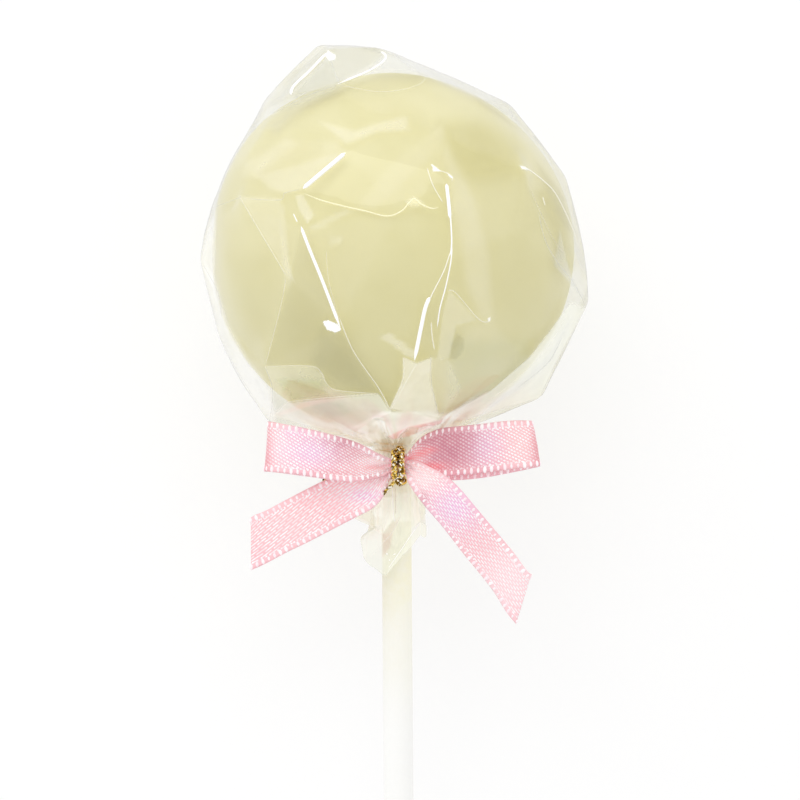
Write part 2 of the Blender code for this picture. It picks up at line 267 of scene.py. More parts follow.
def makeFloor(size, shade, glow, roughness):
    material, _tree, shader = newMaterial("studioWhite")
    shader.inputs["Base Color"].default_value = (shade, shade, shade, 1)
    shader.inputs["Roughness"].default_value = roughness
    shader.inputs["Specular IOR Level"].default_value = 0.0
    shader.inputs["Emission Color"].default_value = (1, 1, 1, 1)
    shader.inputs["Emission Strength"].default_value = glow
    bm = bmesh.new()
    bmesh.ops.create_grid(bm, x_segments=1, y_segments=1, size=size)
    mesh = bpy.data.meshes.new("floor")
    bm.to_mesh(mesh)
    bm.free()
    mesh.materials.append(material)
    floor = bpy.data.objects.new("floor", mesh)
    bpy.context.scene.collection.objects.link(floor)


def makeClouds():
    # Soft uneven patches, for the coating, the film and the paper
    tree, given, result = newTree("softClouds", "ShaderNodeTree", {
        "Size": ("Float", 0.008), "Detail": ("Float", 3.0), "Low": ("Float", 0.35), "High": ("Float", 0.65),
    }, {"Mask": "Float"})
    where = place(tree, "ShaderNodeTexCoord")
    scale = calc(tree, "DIVIDE", 1.0, given.outputs["Size"])
    cloud = place(tree, "ShaderNodeTexNoise", Vector=where.outputs["Object"], Scale=scale,
                  Detail=given.outputs["Detail"])
    spread = place(tree, "ShaderNodeMapRange", {"interpolation_type": "SMOOTHSTEP"},
                   Value=cloud.outputs["Fac"], From_Min=given.outputs["Low"], From_Max=given.outputs["High"])
    tree.links.new(spread.outputs[0], result.inputs["Mask"])
    return tree


def makeTwill():
    # The satin's floats as rows of dashes, the band of its woven edge, and the small stitches beside that.
    # It reads the ribbon's own UV map, in mm along and across the ribbon.
    rowCrest, rowSoftness = 0.85, 0.3     # where a row of floats is full, and how softly it ends
    stitch = {"pitch": 0.47, "length": 0.45, "from": 0.15, "to": 0.07}
    edgeSoftness = 0.12
    tree, given, result = newTree("satinTwill", "ShaderNodeTree", {
        "Angle": ("Float", 27.0), "Line Pitch": ("Float", 0.5), "Line Width": ("Float", 0.4),
        "Dash Pitch": ("Float", 0.5), "Dash Length": ("Float", 0.7), "Shift": ("Float", 0.4),
        "Edge From": ("Float", 2.4), "Wobble": ("Float", 0.16),
    }, {"Dashes": "Float", "Edge": "Float", "Stitches": "Float"})

    def pulse(value, share):
        # 1 over this share of every whole step of the value, with soft ends
        peak = calc(tree, "MULTIPLY", calc(tree, "PINGPONG", value, 0.5), 2.0)
        low = calc(tree, "SUBTRACT", rowCrest, share)
        return place(tree, "ShaderNodeMapRange", {"interpolation_type": "SMOOTHSTEP"}, Value=peak,
                     From_Min=low, From_Max=calc(tree, "ADD", low, rowSoftness)).outputs[0]

    cloth = place(tree, "ShaderNodeUVMap", {"uv_map": "cloth"})
    split = place(tree, "ShaderNodeSeparateXYZ", Vector=cloth.outputs["UV"])
    x, y = split.outputs["X"], split.outputs["Y"]
    angle = calc(tree, "RADIANS", given.outputs["Angle"])
    cosine, sine = calc(tree, "COSINE", angle), calc(tree, "SINE", angle)
    along = calc(tree, "ADD", calc(tree, "MULTIPLY", x, cosine), calc(tree, "MULTIPLY", y, sine))
    across = calc(tree, "SUBTRACT", calc(tree, "MULTIPLY", y, cosine), calc(tree, "MULTIPLY", x, sine))
    uneven = place(tree, "ShaderNodeTexNoise", Vector=cloth.outputs["UV"], Scale=0.9, Detail=2.0)
    uneven = calc(tree, "SUBTRACT", uneven.outputs["Fac"], 0.5)
    across = calc(tree, "MULTIPLY_ADD", uneven, given.outputs["Wobble"], across)
    row = calc(tree, "DIVIDE", across, given.outputs["Line Pitch"])
    spot = calc(tree, "ADD", calc(tree, "DIVIDE", along, given.outputs["Dash Pitch"]),
                calc(tree, "MULTIPLY", calc(tree, "FLOOR", row), given.outputs["Shift"]))
    dashes = calc(tree, "MULTIPLY", pulse(row, given.outputs["Line Width"]),
                  pulse(spot, given.outputs["Dash Length"]))
    side = calc(tree, "ABSOLUTE", y)
    edge = place(tree, "ShaderNodeMapRange", {"interpolation_type": "SMOOTHSTEP"}, Value=side,
                 From_Min=given.outputs["Edge From"],
                 From_Max=calc(tree, "ADD", given.outputs["Edge From"], edgeSoftness)).outputs[0]
    off = calc(tree, "ABSOLUTE", calc(tree, "SUBTRACT", side, given.outputs["Edge From"]))
    seam = place(tree, "ShaderNodeMapRange", Value=off, From_Min=stitch["from"], From_Max=stitch["to"])
    stitches = pulse(calc(tree, "DIVIDE", x, stitch["pitch"]), stitch["length"])
    stitches = calc(tree, "MULTIPLY", seam.outputs[0], stitches)
    tree.links.new(dashes, result.inputs["Dashes"])
    tree.links.new(edge, result.inputs["Edge"])
    tree.links.new(stitches, result.inputs["Stitches"])
    return tree


softClouds = makeClouds()
satinTwill = makeTwill()


def newMaterial(name):
    material = bpy.data.materials.new(name)
    material.use_nodes = True
    tree = material.node_tree
    return material, tree, tree.nodes["Principled BSDF"]


def useGroup(tree, group, **inputs):
    node = tree.nodes.new("ShaderNodeGroup")
    node.node_tree = group
    for key, value in inputs.items():
        feed(tree, node.inputs[key.replace("_", " ")], value)
    return node


def blendColour(tree, share, low, high):
    mix = place(tree, "ShaderNodeMix", {"data_type": "RGBA"})
    feed(tree, mix.inputs[0], share)
    feed(tree, mix.inputs[6], low if isinstance(low, bpy.types.NodeSocket) else (*low, 1))
    feed(tree, mix.inputs[7], high if isinstance(high, bpy.types.NodeSocket) else (*high, 1))
    return mix.outputs[2]


def readValue(tree, name):
    return place(tree, "ShaderNodeAttribute", {"attribute_name": name}).outputs["Fac"]


def addBump(tree, height, strength, depth):
    bump = place(tree, "ShaderNodeBump", Height=height, Strength=strength, Distance=depth * mm)
    return bump.outputs["Normal"]


def cloudMask(tree, settings):
    return useGroup(tree, softClouds, **settings).outputs["Mask"]


def readColour(tree, name, output="Color"):
    return place(tree, "ShaderNodeAttribute", {"attribute_name": name}).outputs[output]


coating = {
    # Where the ball departs from round: (angle from the right in the front view, width, height)
    "lumps": [
        (138, 16, 0.45), (160, 12, 0.15), (179, 12, -0.30), (108, 14, -0.30), (69, 16, -0.40),
        (49, 14, -0.25), (8, 20, 0.35), (-40, 15, -0.50), (-68, 9, 0.25),
    ],
    "lumpLean": -0.15,                    # the lumps lie a little towards the viewer
    "swells": {"height": 0.10, "span": 10, "size": 6.0, "seed": 3.0},
    "fineness": 6,
    "colour": (0.86, 0.81, 0.47),
    "shade": (0.83, 0.775, 0.42),
    "patches": {"Size": 0.011, "Low": 0.35, "High": 0.7},
    "grain": {"Size": 0.0011, "Detail": 2.0, "Low": 0.3, "High": 0.7},
    "relief": (0.25, 0.02),               # strength and depth
    "roughness": (0.38, 0.5),
    "specular": 0.35,
}


def ballReach(way):
    # Distance of the coating from the ball's centre in a direction
    swells = coating["swells"]
    found = ball["radius"] + swells["height"] * wander(way * swells["span"], swells["size"], swells["seed"])
    for angle, width, height in coating["lumps"]:
        turn = math.radians(angle)
        lump = Vector((math.cos(turn), coating["lumpLean"], math.sin(turn))).normalized()
        off = math.degrees(way.angle(lump))
        if off < width * 2.5:
            found += height * math.exp(-(off / width) ** 2)
    return found


def makeCoatingMaterial():
    material, tree, shader = newMaterial("ivoryCoating")
    patches = cloudMask(tree, coating["patches"])
    feed(tree, shader.inputs["Base Color"], blendColour(tree, patches, coating["shade"], coating["colour"]))
    low, high = coating["roughness"]
    roughness = place(tree, "ShaderNodeMapRange", Value=patches, To_Min=low, To_Max=high)
    feed(tree, shader.inputs["Roughness"], roughness.outputs[0])
    grain = cloudMask(tree, coating["grain"])
    feed(tree, shader.inputs["Normal"], addBump(tree, grain, *coating["relief"]))
    shader.inputs["Specular IOR Level"].default_value = coating["specular"]
    return material


def makeBall():
    bm = bmesh.new()
    bmesh.ops.create_icosphere(bm, subdivisions=coating["fineness"], radius=1.0)
    for vert in bm.verts:
        way = vert.co.normalized()
        vert.co = way * ballReach(way)
    toPiece("cake_ball", bm, makeCoatingMaterial(), "bag")


film = {
    # Corners round the outline: (bearing from the top, clockwise, in degrees; reach; depth)
    "outline": [
        (-19.1, 29.7, -2.0), (-12.1, 28.9, 2.5), (-2.2, 27.6, -2.5), (14.6, 25.6, 2.0),
        (38.7, 25.7, -3.0), (56.7, 25.0, 2.0), (67.0, 25.8, -2.0), (77.3, 25.2, 3.0),
        (89.2, 26.0, -2.0), (99.7, 26.9, 2.0), (104.7, 27.4, -2.5), (116.7, 26.6, 3.0),
        (134.2, 28.1, -1.0), (152.8, 25.5, 1.5), (216.1, 28.2, -1.0), (233.8, 26.6, 2.5),
        (243.6, 26.0, -3.0), (255.9, 25.2, 3.0), (269.3, 26.0, -1.0), (284.2, 25.5, 2.5),
        (310.6, 25.4, -2.5), (321.2, 27.0, 2.0), (328.4, 27.6, -2.0),
    ],
    # Corners on the shown side: (x, z, stand-off from the ball)
    "creases": [
        (-8.4, 27.6, 4.6), (-13.5, 21.7, 2.2), (-6.9, 22.9, 1.7), (4.4, 24.1, 1.3),
        (-6.2, 13.6, 1.7), (-11.9, 8.7, 2.4), (-12.1, 3.6, 1.9), (-7.0, -10.1, 1.9),
        (-20.3, 6.8, 1.2), (-13.3, -3.5, 0.9), (-17.2, -15.1, 2.2), (-9.6, -17.6, 1.0),
        (-0.6, -21.2, 2.0), (1.0, 5.8, 0.7), (7.7, 9.8, 2.6), (8.0, -0.9, 2.3),
        (3.5, -14.6, 2.4), (7.8, 15.6, 1.1), (13.1, -9.1, 1.3), (7.2, -14.5, 1.3),
        (17.7, 11.5, 1.5), (22.0, -1.9, 1.2), (19.0, -14.0, 1.5), (6.3, -22.3, 1.6),
        (17.0, 3.0, 0.7), (-2.0, 19.0, 0.7), (12.5, 20.5, 0.8), (-19.5, 13.0, 0.9),
    ],
    "backRows": [(30.0, 7, 0.9, 1.6), (52.0, 11, 0.8, 2.4), (72.0, 15, 0.7, 2.2)],
    "backSeed": 14,
    "backReach": 26.25,
    "gatherRing": (14, 7.6, -24.4, 0.9),   # corners, radius, height, depth of the folds
    "neckCorners": 14,
    "cuts": 3,                             # times each facet is quartered
    "finer": (2.0, -22.0),                 # and once more in front of this depth or below this height
    "sharpening": (0.22, 0.11),            # and again where a painted mark ends sharper than this,
    "sharpDepth": -1.0,                    # in front of this depth,
    "sharpReach": (0.55, 0.02),            # within this share of an edge's length and this much more
    "rounding": 2,
    "clearance": 0.12,
    "landing": 0.4,                        # the film eases on to the ball over this height
    "gathers": (0.55, 62, 18),             # depth, and degrees from the stick where they start and are full
    "crinkleSpan": 25,
    "creasing": (0.10, 3.0, 3.2, 8.0),     # sharp crinkles: height, steepness, size, seed
    "billows": (0.10, 5.0, 4.0),           # soft ones: height, size, seed
    "thickness": 0.05,
    "floorGap": 0.02,
    "tint": (0.95, 0.95, 0.928),
    # The haze is painted: it stands in for the film's faint reflection, with more of it on some facets at
    # random
    "haze": 0.03,
    "facetHaze": (0.16, 0.11),             # a facet's own haze at most, and how much less it is in front
    "facetSeed": 5,
    "mist": (0.55, 32, 20),                # over the gathers: cover, and where it starts and is full
    "fade": 3.0,                           # the painted marks fade out within this depth of the middle
    "clouds": {"Size": 0.0045, "Detail": 2.0, "Low": 0.3, "High": 0.75},
    "cloudCover": (0.88, 0.2),             # share of the haze everywhere, and more of it in the clouds
    "steep": (3.0, 0.30),                  # haze where the film is seen edge on: falloff and cover
    # painted light: the film's painted colours glow a little
    "glow": 0.20,
    "roughness": 0.12,
    "gloss": 0.05,
    "density": 1.5,
}
neck = {
    "profile": [(-26.0, 3.45), (-26.8, 3.0), (-27.6, 2.86), (-30.2, 2.86), (-31.2, 3.05)],  # height, radius
    "folds": 0.22,
    "foldWaves": [(12, 0.55, 0.6), (17, 0.30, 2.1), (29, 0.15, 0.0)],     # folds round, share, shift
    "foldsFrom": (26.0, 27.0),             # how far below the ball's centre they start and are full
    "rowHeight": 0.6,
    "skirtRows": 38,
    # Round the skirt's ragged edge: angle from the right towards the back, then the height and radius of the
    # edge, and the heights between which the film spreads out to it
    "edge": [
        (0, -37.2, 3.85, -36.2, -36.9), (8, -35.2, 4.0, -31.2, -35.0), (25, -35.3, 4.4, -31.2, -35.0),
        (45, -36.3, 4.6, -31.2, -36.0), (70, -37.6, 4.3, -31.2, -37.0), (90, -38.2, 4.4, -31.2, -38.0),
        (112, -37.0, 4.9, -31.2, -37.0), (130, -36.6, 5.2, -31.2, -36.0), (150, -35.7, 6.0, -31.2, -35.0),
        (164, -36.0, 5.7, -31.2, -35.6), (175, -37.2, 3.1, -31.2, -36.0), (184, -37.9, 4.2, -37.1, -38.2),
        (192, -38.7, 5.0, -37.1, -38.6), (203, -41.1, 4.8, -37.1, -38.6), (220, -42.3, 4.5, -37.1, -38.8),
        (240, -43.4, 3.9, -36.5, -39.5), (247, -43.5, 3.7, -35.0, -39.5), (262, -42.3, 3.4, -31.2, -40.0),
        (283, -40.9, 3.4, -31.2, -39.0), (304, -39.6, 3.6, -31.2, -38.0), (323, -38.1, 4.0, -31.2, -37.0),
        (331, -38.2, 4.0, -35.5, -37.0), (340, -38.5, 4.1, -36.2, -37.0), (350, -38.3, 3.9, -36.2, -36.9),
        (360, -37.2, 3.85, -36.2, -36.9),
    ],
    "folding": 0.22,
    "skirtWaves": [(7, 0.6, 0.4), (13, 0.4, 1.9)],
    "tatters": [(0.15, 0.10, 2.0, 5.0), (0.5, 0.05, 7.0, 1.0)],           # scale, height, two seeds
    "least": 2.35,                         # radius, so that the skirt clears the stick
    "mistFrom": -30.8,
    "mist": 0.46,
    "fadeFrom": -28,                       # below this the painted marks fade by their own, shorter fade
    "fade": 0.6,
}
# The film's haze colours, and the reflections, glints and shade painted on its facets and creases
hazeAndPaintedLight = {
    "white": (0.97, 0.95, 0.86),
    "cream": (0.99, 0.95, 0.66),
    "mist": (0.95, 0.95, 0.84),
    "haze": (0.86, 0.865, 0.76),
    "reed": (0.89, 0.905, 0.77),
    "lily": (0.94, 0.985, 0.90),
    "veil": (0.66, 0.645, 0.56),
    "grey": (0.66, 0.665, 0.63),
    "beige": (0.74, 0.70, 0.56),
    "tan": (0.66, 0.52, 0.42),
    "pink": (0.92, 0.60, 0.53),
    "salmon": (0.82, 0.36, 0.31),
    "gold": (0.62, 0.46, 0.24),
    "olive": (0.34, 0.31, 0.14),
    "straw": (0.46, 0.41, 0.04),
    "moss": (0.40, 0.46, 0.12),
    "sage": (0.42, 0.50, 0.36),
    "dusk": (0.42, 0.40, 0.20),
    "glint": (1.0, 1.0, 1.0),
}
# Painted reflections, glints and shade on the film's facets, as outlines in the front view (x, z), then
# colour, cover and softness
facets = [
    ([(-20.5, 7.8), (-15.0, 7.6), (-14.4, 5.9), (-13.8, -1.1), (-13.1, -3.9), (-14.3, -2.9)],
     "white", 0.16, 0.22),
    ([(-18.1, 10.6), (-6.1, 13.8), (-12.0, 8.7), (-14.4, 8.3), (-16.4, 8.9)], "white", 0.19, 0.45),
    ([(-19.8, 10.8), (-13.7, 15.9), (-12.9, 14.8), (-18.4, 10.2)], "white", 0.14, 0.70),
    ([(-20.2, 12.0), (-14.6, 15.4), (-7.4, 15.0), (-6.4, 13.9), (-18.1, 10.6)], "white", 0.09, 0.60),
    ([(-9.4, 17.7), (-4.9, 16.5), (-1.2, 17.7), (2.1, 18.4), (2.4, 16.5), (-1.6, 16.4), (-5.9, 14.8)],
     "white", 0.24, 0.45),
    ([(-12.9, 7.8), (-12.0, 8.1), (-10.4, 5.2), (-11.3, 4.1), (-12.4, 5.9)], "white", 0.22, 0.15),
    ([(-10.9, 3.7), (-5.8, 6.2), (-5.4, 5.5), (-10.6, 3.0)], "white", 0.16, 0.30),
    ([(-8.9, 2.6), (-6.5, 1.6), (-7.3, 1.3), (-8.7, 1.8)], "white", 0.20, 0.25),
    ([(-23.9, 3.8), (-20.5, 7.5), (-14.3, -3.3), (-17.2, -15.1), (-21.8, -10.3), (-24.2, -5.4)],
     "white", 0.05, 0.15),
    ([(-15.2, 5.5), (-13.4, -3.9), (-14.5, -5.0), (-14.6, -2.8)], "white", 0.10, 0.20),
    ([(-17.2, -15.2), (-10.7, -15.2), (-9.4, -16.3), (-8.7, -18.1), (-7.1, -18.7), (-1.9, -19.0),
      (-14.5, -19.9), (-16.3, -18.1)], "mist", 0.20, 0.12),
    ([(-14.5, -20.1), (-1.9, -19.0), (-0.1, -21.5), (-6.7, -24.4), (-11.2, -23.4), (-16.3, -21.9)],
     "haze", 0.55, 0.12),
    ([(-12.3, 3.4), (-13.9, -4.4), (-17.0, -14.9), (-10.8, -15.0), (-9.2, -16.4), (-7.2, -18.5),
      (-2.1, -18.8), (-7.1, -10.0)], "olive", 0.09, 0.15),
    ([(-1.8, -11.3), (-0.3, -10.8), (0.8, -11.7), (3.3, -13.4), (3.1, -14.5), (1.8, -13.9), (-0.4, -12.1)],
     "white", 0.24, 0.15),
    ([(1.5, -14.1), (3.3, -14.9), (5.3, -14.2), (5.1, -17.1), (6.3, -22.3), (-0.4, -21.1), (1.4, -17.1)],
     "white", 0.46, 0.2),
    ([(5.3, -14.2), (7.6, -14.4), (9.4, -18.5), (6.4, -22.4), (5.1, -17.1)], "white", 0.14, 0.15),
    ([(7.8, -5.2), (9.7, -7.0), (11.3, -9.2), (8.7, -9.8), (7.7, -14.2), (6.6, -14.5), (6.1, -14.2),
      (6.9, -7.9)], "white", 0.20, 0.15),
    ([(9.7, -7.0), (13.1, -9.3), (17.6, -14.0), (11.4, -19.2), (7.0, -22.0), (7.7, -14.8), (9.9, -13.0),
      (9.7, -11.2), (8.7, -9.8), (11.3, -9.2)], "white", 0.07, 0.7),
    ([(8.7, -10.9), (9.7, -11.6), (9.7, -13.1), (8.7, -14.4), (7.6, -14.4), (8.1, -12.3)],
     "olive", 0.22, 0.12),
    ([(6.7, 16.5), (8.1, 13.1), (11.2, 7.2), (13.0, -0.2), (13.7, -9.1), (11.9, -8.7), (10.0, -3.9),
      (9.7, 0.6), (8.3, 5.8), (7.9, 10.9)], "white", 0.16, 0.90),
    ([(-5.0, 5.9), (0.2, 12.1), (5.4, 16.1), (7.3, 17.2), (6.1, 13.9), (2.4, 10.2), (-2.1, 5.8)],
     "white", 0.08, 0.70),
    ([(24.1, -6.9), (21.4, -10.6), (18.5, -14.3), (13.3, -18.7), (6.6, -22.3), (9.5, -22.7), (19.9, -19.8),
      (22.1, -15.0), (26.3, -7.7)], "haze", 0.60, 0.12),
    ([(24.3, -8.6), (21.0, -14.2), (16.8, -17.8), (12.6, -20.6), (13.4, -20.9), (17.6, -18.4),
      (21.6, -14.8)], "grey", 0.35, 0.15),
    ([(22.0, -1.9), (26.5, -6.9), (24.6, -4.2), (23.6, -1.0), (22.8, 3.0)], "grey", 0.30, 0.20),
    ([(8.4, -21.2), (12.9, -18.7), (11.0, -21.6), (8.1, -22.3)], "tan", 0.36, 0.3),
    ([(4.0, -23.0), (8.8, -22.0), (13.2, -20.2), (12.0, -21.8), (6.0, -24.4)], "haze", 0.35, 0.30),
    ([(-15.9, -21.6), (-11.9, -20.1), (-8.9, -19.4), (-6.5, -19.3), (-6.7, -19.7), (-11.5, -20.7),
      (-15.2, -21.9)], "pink", 0.17, 0.2),
    ([(-12.0, -21.0), (-9.6, -20.0), (-6.8, -20.2), (-5.6, -21.6), (-8.4, -22.4)], "sage", 0.30, 0.3),
    ([(-6.6, -21.7), (-4.4, -21.0), (-1.8, -22.4), (-3.6, -23.9)], "tan", 0.18, 0.35),
    ([(-6.4, -24.4), (-0.6, -22.8), (3.8, -21.8), (3.6, -22.4), (-0.6, -23.5), (-5.4, -25.0)],
     "pink", 0.12, 0.2),
    ([(-5.6, -23.6), (-1.4, -21.4), (3.2, -21.5), (5.8, -22.6), (0.4, -24.6), (-3.6, -25.8)],
     "mist", 0.55, 0.20),
    ([(-3.2, -21.6), (5.4, -21.4), (6.2, -22.8), (1.4, -24.0), (-2.8, -23.6)], "lily", 0.30, 0.4),
    ([(-0.8, -24.8), (2.1, -23.5), (5.4, -22.9), (7.6, -22.5), (5.4, -23.5), (2.1, -24.8), (-0.1, -25.2)],
     "salmon", 0.50, 0.15),
    ([(-2.4, -25.2), (1.6, -25.2), (1.9, -26.9), (-2.2, -26.9)], "gold", 0.30, 0.20),
    ([(-1.8, -25.6), (1.4, -25.7), (1.4, -26.0), (-1.8, -25.9)], "gold", 0.75, 0.10),
    ([(-1.4, -26.4), (1.8, -26.5), (1.8, -26.8), (-1.4, -26.7)], "gold", 0.75, 0.10),
    ([(-8.4, 26.6), (-6.9, 23.2), (-7.5, 22.7), (-12.7, 21.6), (-10.8, 23.6)], "grey", 0.45, 0.12),
    ([(-11.4, 25.6), (-8.6, 28.2), (-7.9, 27.6), (-13.6, 21.6), (-15.2, 21.0)], "grey", 0.22, 0.15),
    ([(-6.7, 22.5), (-1.2, 24.3), (5.1, 24.1), (3.6, 22.6), (-1.2, 21.9), (-4.9, 21.7)],
     "olive", 0.05, 0.4),
    ([(-2.6, 24.9), (5.0, 24.3), (11.4, 21.6), (17.4, 17.2), (16.2, 20.0), (6.5, 24.9), (-0.6, 27.4)],
     "grey", 0.42, 0.35),
    ([(-16.2, 19.2), (-11.5, 21.4), (-6.9, 23.0), (-6.9, 22.6), (-11.6, 20.8), (-16.0, 18.4)],
     "grey", 0.25, 0.5),
    ([(-26.2, -0.6), (-23.7, -4.9), (-22.9, -8.6), (-24.6, -5.8)], "grey", 0.12, 0.12),
    ([(19.6, 12.2), (23.4, 7.6), (24.6, 2.4), (22.8, 4.6), (21.0, 9.0)], "olive", 0.12, 0.30),
    ([(-9.4, -9.2), (-8.6, -9.0), (-7.3, -9.6), (-6.8, -10.3), (-7.6, -10.7), (-8.8, -10.3)],
     "glint", 1.0, 0.05),
    ([(5.5, 12.0), (6.3, 11.4), (6.7, 11.0), (5.8, 11.0)], "glint", 0.95, 0.06),
    ([(7.6, 10.8), (8.4, 10.2), (8.2, 10.0), (7.8, 10.4)], "glint", 0.95, 0.06),
    ([(17.4, 11.7), (18.2, 11.5), (18.7, 11.1), (17.7, 11.2)], "glint", 0.9, 0.06),
    ([(12.9, -8.9), (13.3, -8.8), (13.3, -9.3), (13.0, -9.4)], "glint", 0.7, 0.06),
    ([(-8.4, 27.5), (-7.3, 26.8), (-7.4, 26.2), (-8.2, 26.0), (-8.7, 26.6)], "glint", 0.85, 0.10),
    ([(2.2, 6.8), (3.1, 7.5), (4.0, 6.9), (4.5, 6.3), (3.4, 6.5), (2.6, 6.2)], "cream", 0.45, 0.25),
    ([(-15.8, -16.8), (-9.8, -17.2), (-8.8, -19.0), (-13.6, -19.9)], "moss", 0.30, 0.4),
    ([(-16.8, 17.2), (-11.4, 21.6), (-6.4, 24.0), (-6.8, 22.6), (-11.8, 19.8), (-15.4, 16.6)],
     "veil", 0.30, 1.0),
    ([(-8.6, 27.6), (-13.0, 24.4), (-16.6, 19.8), (-11.6, 21.4), (-6.9, 23.0), (-1.0, 26.4), (-2.0, 28.2)],
     "dusk", 0.17, 0.4),
    ([(-8.2, 26.2), (-13.2, 21.2), (-11.6, 20.6), (-6.9, 22.6)], "dusk", 0.18, 0.3),
    ([(-26.6, -0.3), (-25.0, -6.1), (-24.2, -11.8), (-22.4, -16.2), (-17.4, -23.4), (-15.9, -22.6),
      (-16.4, -18.4), (-19.6, -14.4), (-22.2, -9.4), (-24.1, -3.0)], "glint", 0.38, 0.5),
    ([(-26.0, -0.8), (-24.6, 4.4), (-23.7, 5.4), (-23.9, 0.0), (-24.1, -4.4)], "glint", 0.40, 0.3),
    ([(6.8, 17.4), (12.0, 18.0), (17.4, 14.0), (17.4, 10.6), (12.4, 9.4), (9.6, 10.6), (8.0, 12.6)],
     "straw", 0.16, 1.6),
    ([(21.2, 9.0), (24.2, 3.6), (24.5, -2.4), (22.6, -2.0), (21.6, 3.0), (19.8, 8.0)], "straw", 0.14, 0.9),
    ([(-22.5, 0.0), (-16.0, 0.0), (-16.0, -10.0), (-19.0, -12.0)], "straw", 0.05, 1.5),
    ([(8.0, -12.0), (18.0, -12.0), (18.6, -15.0), (11.0, -20.6), (7.4, -20.0)], "sage", 0.10, 1.2),
    ([(4.4, -22.0), (8.4, -21.6), (12.4, -20.2), (8.0, -22.8), (4.6, -23.6)], "mist", 0.35, 0.4),
    ([(-9.4, -10.4), (-5.6, -13.6), (-2.0, -19.0), (-7.0, -18.4), (-11.4, -15.6)], "dusk", 0.24, 1.5),
    ([(-4.6, -19.2), (-2.0, -19.3), (-0.6, -21.2), (-3.0, -22.0)], "dusk", 0.11, 0.4),
    ([(-16.4, -19.0), (-14.0, -20.2), (-11.6, -21.6), (-12.6, -23.0), (-15.8, -22.4)], "dusk", 0.08, 0.5),
    # The skirt under the bow
    ([(-1.4, -31.4), (4.2, -31.4), (4.6, -35.0), (3.4, -36.6), (0.3, -39.8), (-1.4, -38.0)],
     "reed", 0.26, 0.3),
    ([(-6.0, -33.0), (-5.3, -35.9), (-4.2, -35.9), (-3.3, -36.5), (-2.5, -37.2), (-1.5, -38.0),
      (-1.5, -33.2)], "reed", 0.50, 0.12),
    ([(-3.7, -35.0), (-1.6, -34.4), (-1.5, -35.8), (-2.4, -35.6)], "lily", 0.66, 0.15),
    ([(-1.6, -33.0), (0.0, -33.0), (0.0, -36.0), (-1.5, -37.8)], "lily", 0.58, 0.15),
    ([(0.1, -32.4), (2.3, -32.4), (2.4, -36.2), (0.2, -36.4)], "lily", 0.44, 0.3),
    ([(2.8, -33.1), (4.3, -34.8), (3.6, -36.3), (2.9, -36.8), (2.6, -35.0)], "white", 0.45, 0.15),
    ([(-3.4, -40.7), (-1.5, -39.2), (-1.5, -43.6), (-3.0, -42.5), (-4.2, -41.1)], "grey", 0.20, 0.12),
    ([(-1.5, -37.9), (-0.2, -37.9), (-0.5, -39.7), (-0.9, -40.3), (-1.5, -41.0)], "tan", 0.64, 0.25),
    ([(-1.3, -37.9), (-0.2, -36.5), (0.9, -35.6), (0.6, -36.4), (-0.2, -38.0)], "tan", 0.30, 0.20),
    ([(3.6, -36.4), (2.4, -38.2), (1.2, -40.0), (-0.7, -42.7), (-1.2, -43.7), (0.2, -42.4), (2.7, -39.4),
      (3.7, -38.2)], "reed", 0.40, 0.10),
    ([(3.6, -36.4), (4.4, -36.8), (4.5, -38.7), (3.6, -38.2)], "reed", 0.60, 0.10),
]


def insideDepth(x, z, outline):
    # How far a point lies inside an outline, negative outside
    inside, nearest = False, 1e9
    for (ax, az), (bx, bz) in zip(outline, outline[1:] + outline[:1]):
        if (az > z) != (bz > z) and x < (bx - ax) * (z - az) / (bz - az) + ax:
            inside = not inside
        dx, dz = bx - ax, bz - az
        t = min(max(((x - ax) * dx + (z - az) * dz) / (dx * dx + dz * dz), 0.0), 1.0)
        nearest = min(nearest, math.hypot(x - ax - t * dx, z - az - t * dz))
    return nearest if inside else -nearest


def facetBoxes():
    # Each facet with the box round it, so that far points are passed over
    boxes = []
    for outline, colour, cover, soft in facets:
        xs, zs = [p[0] for p in outline], [p[1] for p in outline]
        boxes.append((min(xs), max(xs), min(zs), max(zs), outline, colour, cover, soft))
    return boxes


def layOver(below, cover, colour):
    # Puts one more see-through layer over a cover and colour
    whole = cover + below[0] * (1 - cover)
    if whole < 1e-6:
        return below
    share = cover / whole
    return whole, tuple(a + (b - a) * share for a, b in zip(below[1], colour))


def filmCorners():
    corners = []
    for bearing, far, depth in film["outline"]:
        turn = math.radians(bearing)
        corners.append(Vector((far * math.sin(turn), depth, far * math.cos(turn))))
    for x, z, off in film["creases"]:
        corner = Vector((x, 0, z))
        for _ in range(4):
            behind = (ball["radius"] + off) ** 2 - corner.x ** 2 - corner.z ** 2
            corner = fromPicture(x, z, -math.sqrt(max(behind, 0.25)))
        corners.append(corner)
    draw = random.Random(film["backSeed"])
    restWay = Vector((0, math.cos(lean), -math.sin(lean)))
    corners.append(restWay * film["backReach"])
    toBack = restWay.to_track_quat("Z", "Y")
    for angle, count, low, high in film["backRows"]:
        for i in range(count):
            tilt = math.radians(angle + draw.uniform(-3, 3))
            spin = 2 * math.pi * (i + draw.uniform(0.3, 0.7)) / count
            way = toBack @ Vector((
                math.sin(tilt) * math.cos(spin), math.sin(tilt) * math.sin(spin), math.cos(tilt)))
            if way.z < -0.88:             # the gathers take up this end
                continue
            corners.append(way * (ball["radius"] + draw.uniform(low, high)))
    count, wide, height, fold = film["gatherRing"]
    for i in range(count):
        turn = 2 * math.pi * (i + 0.5) / count
        side = (-1) ** i
        out = wide + fold * side
        corners.append(Vector((
            stick["x"] + out * math.cos(turn), out * math.sin(turn), height - 0.3 * side)))
    return corners


def neckCorner(turn):
    height, wide = neck["profile"][0]
    return Vector((stick["x"] + wide * math.cos(turn), wide * math.sin(turn), height))


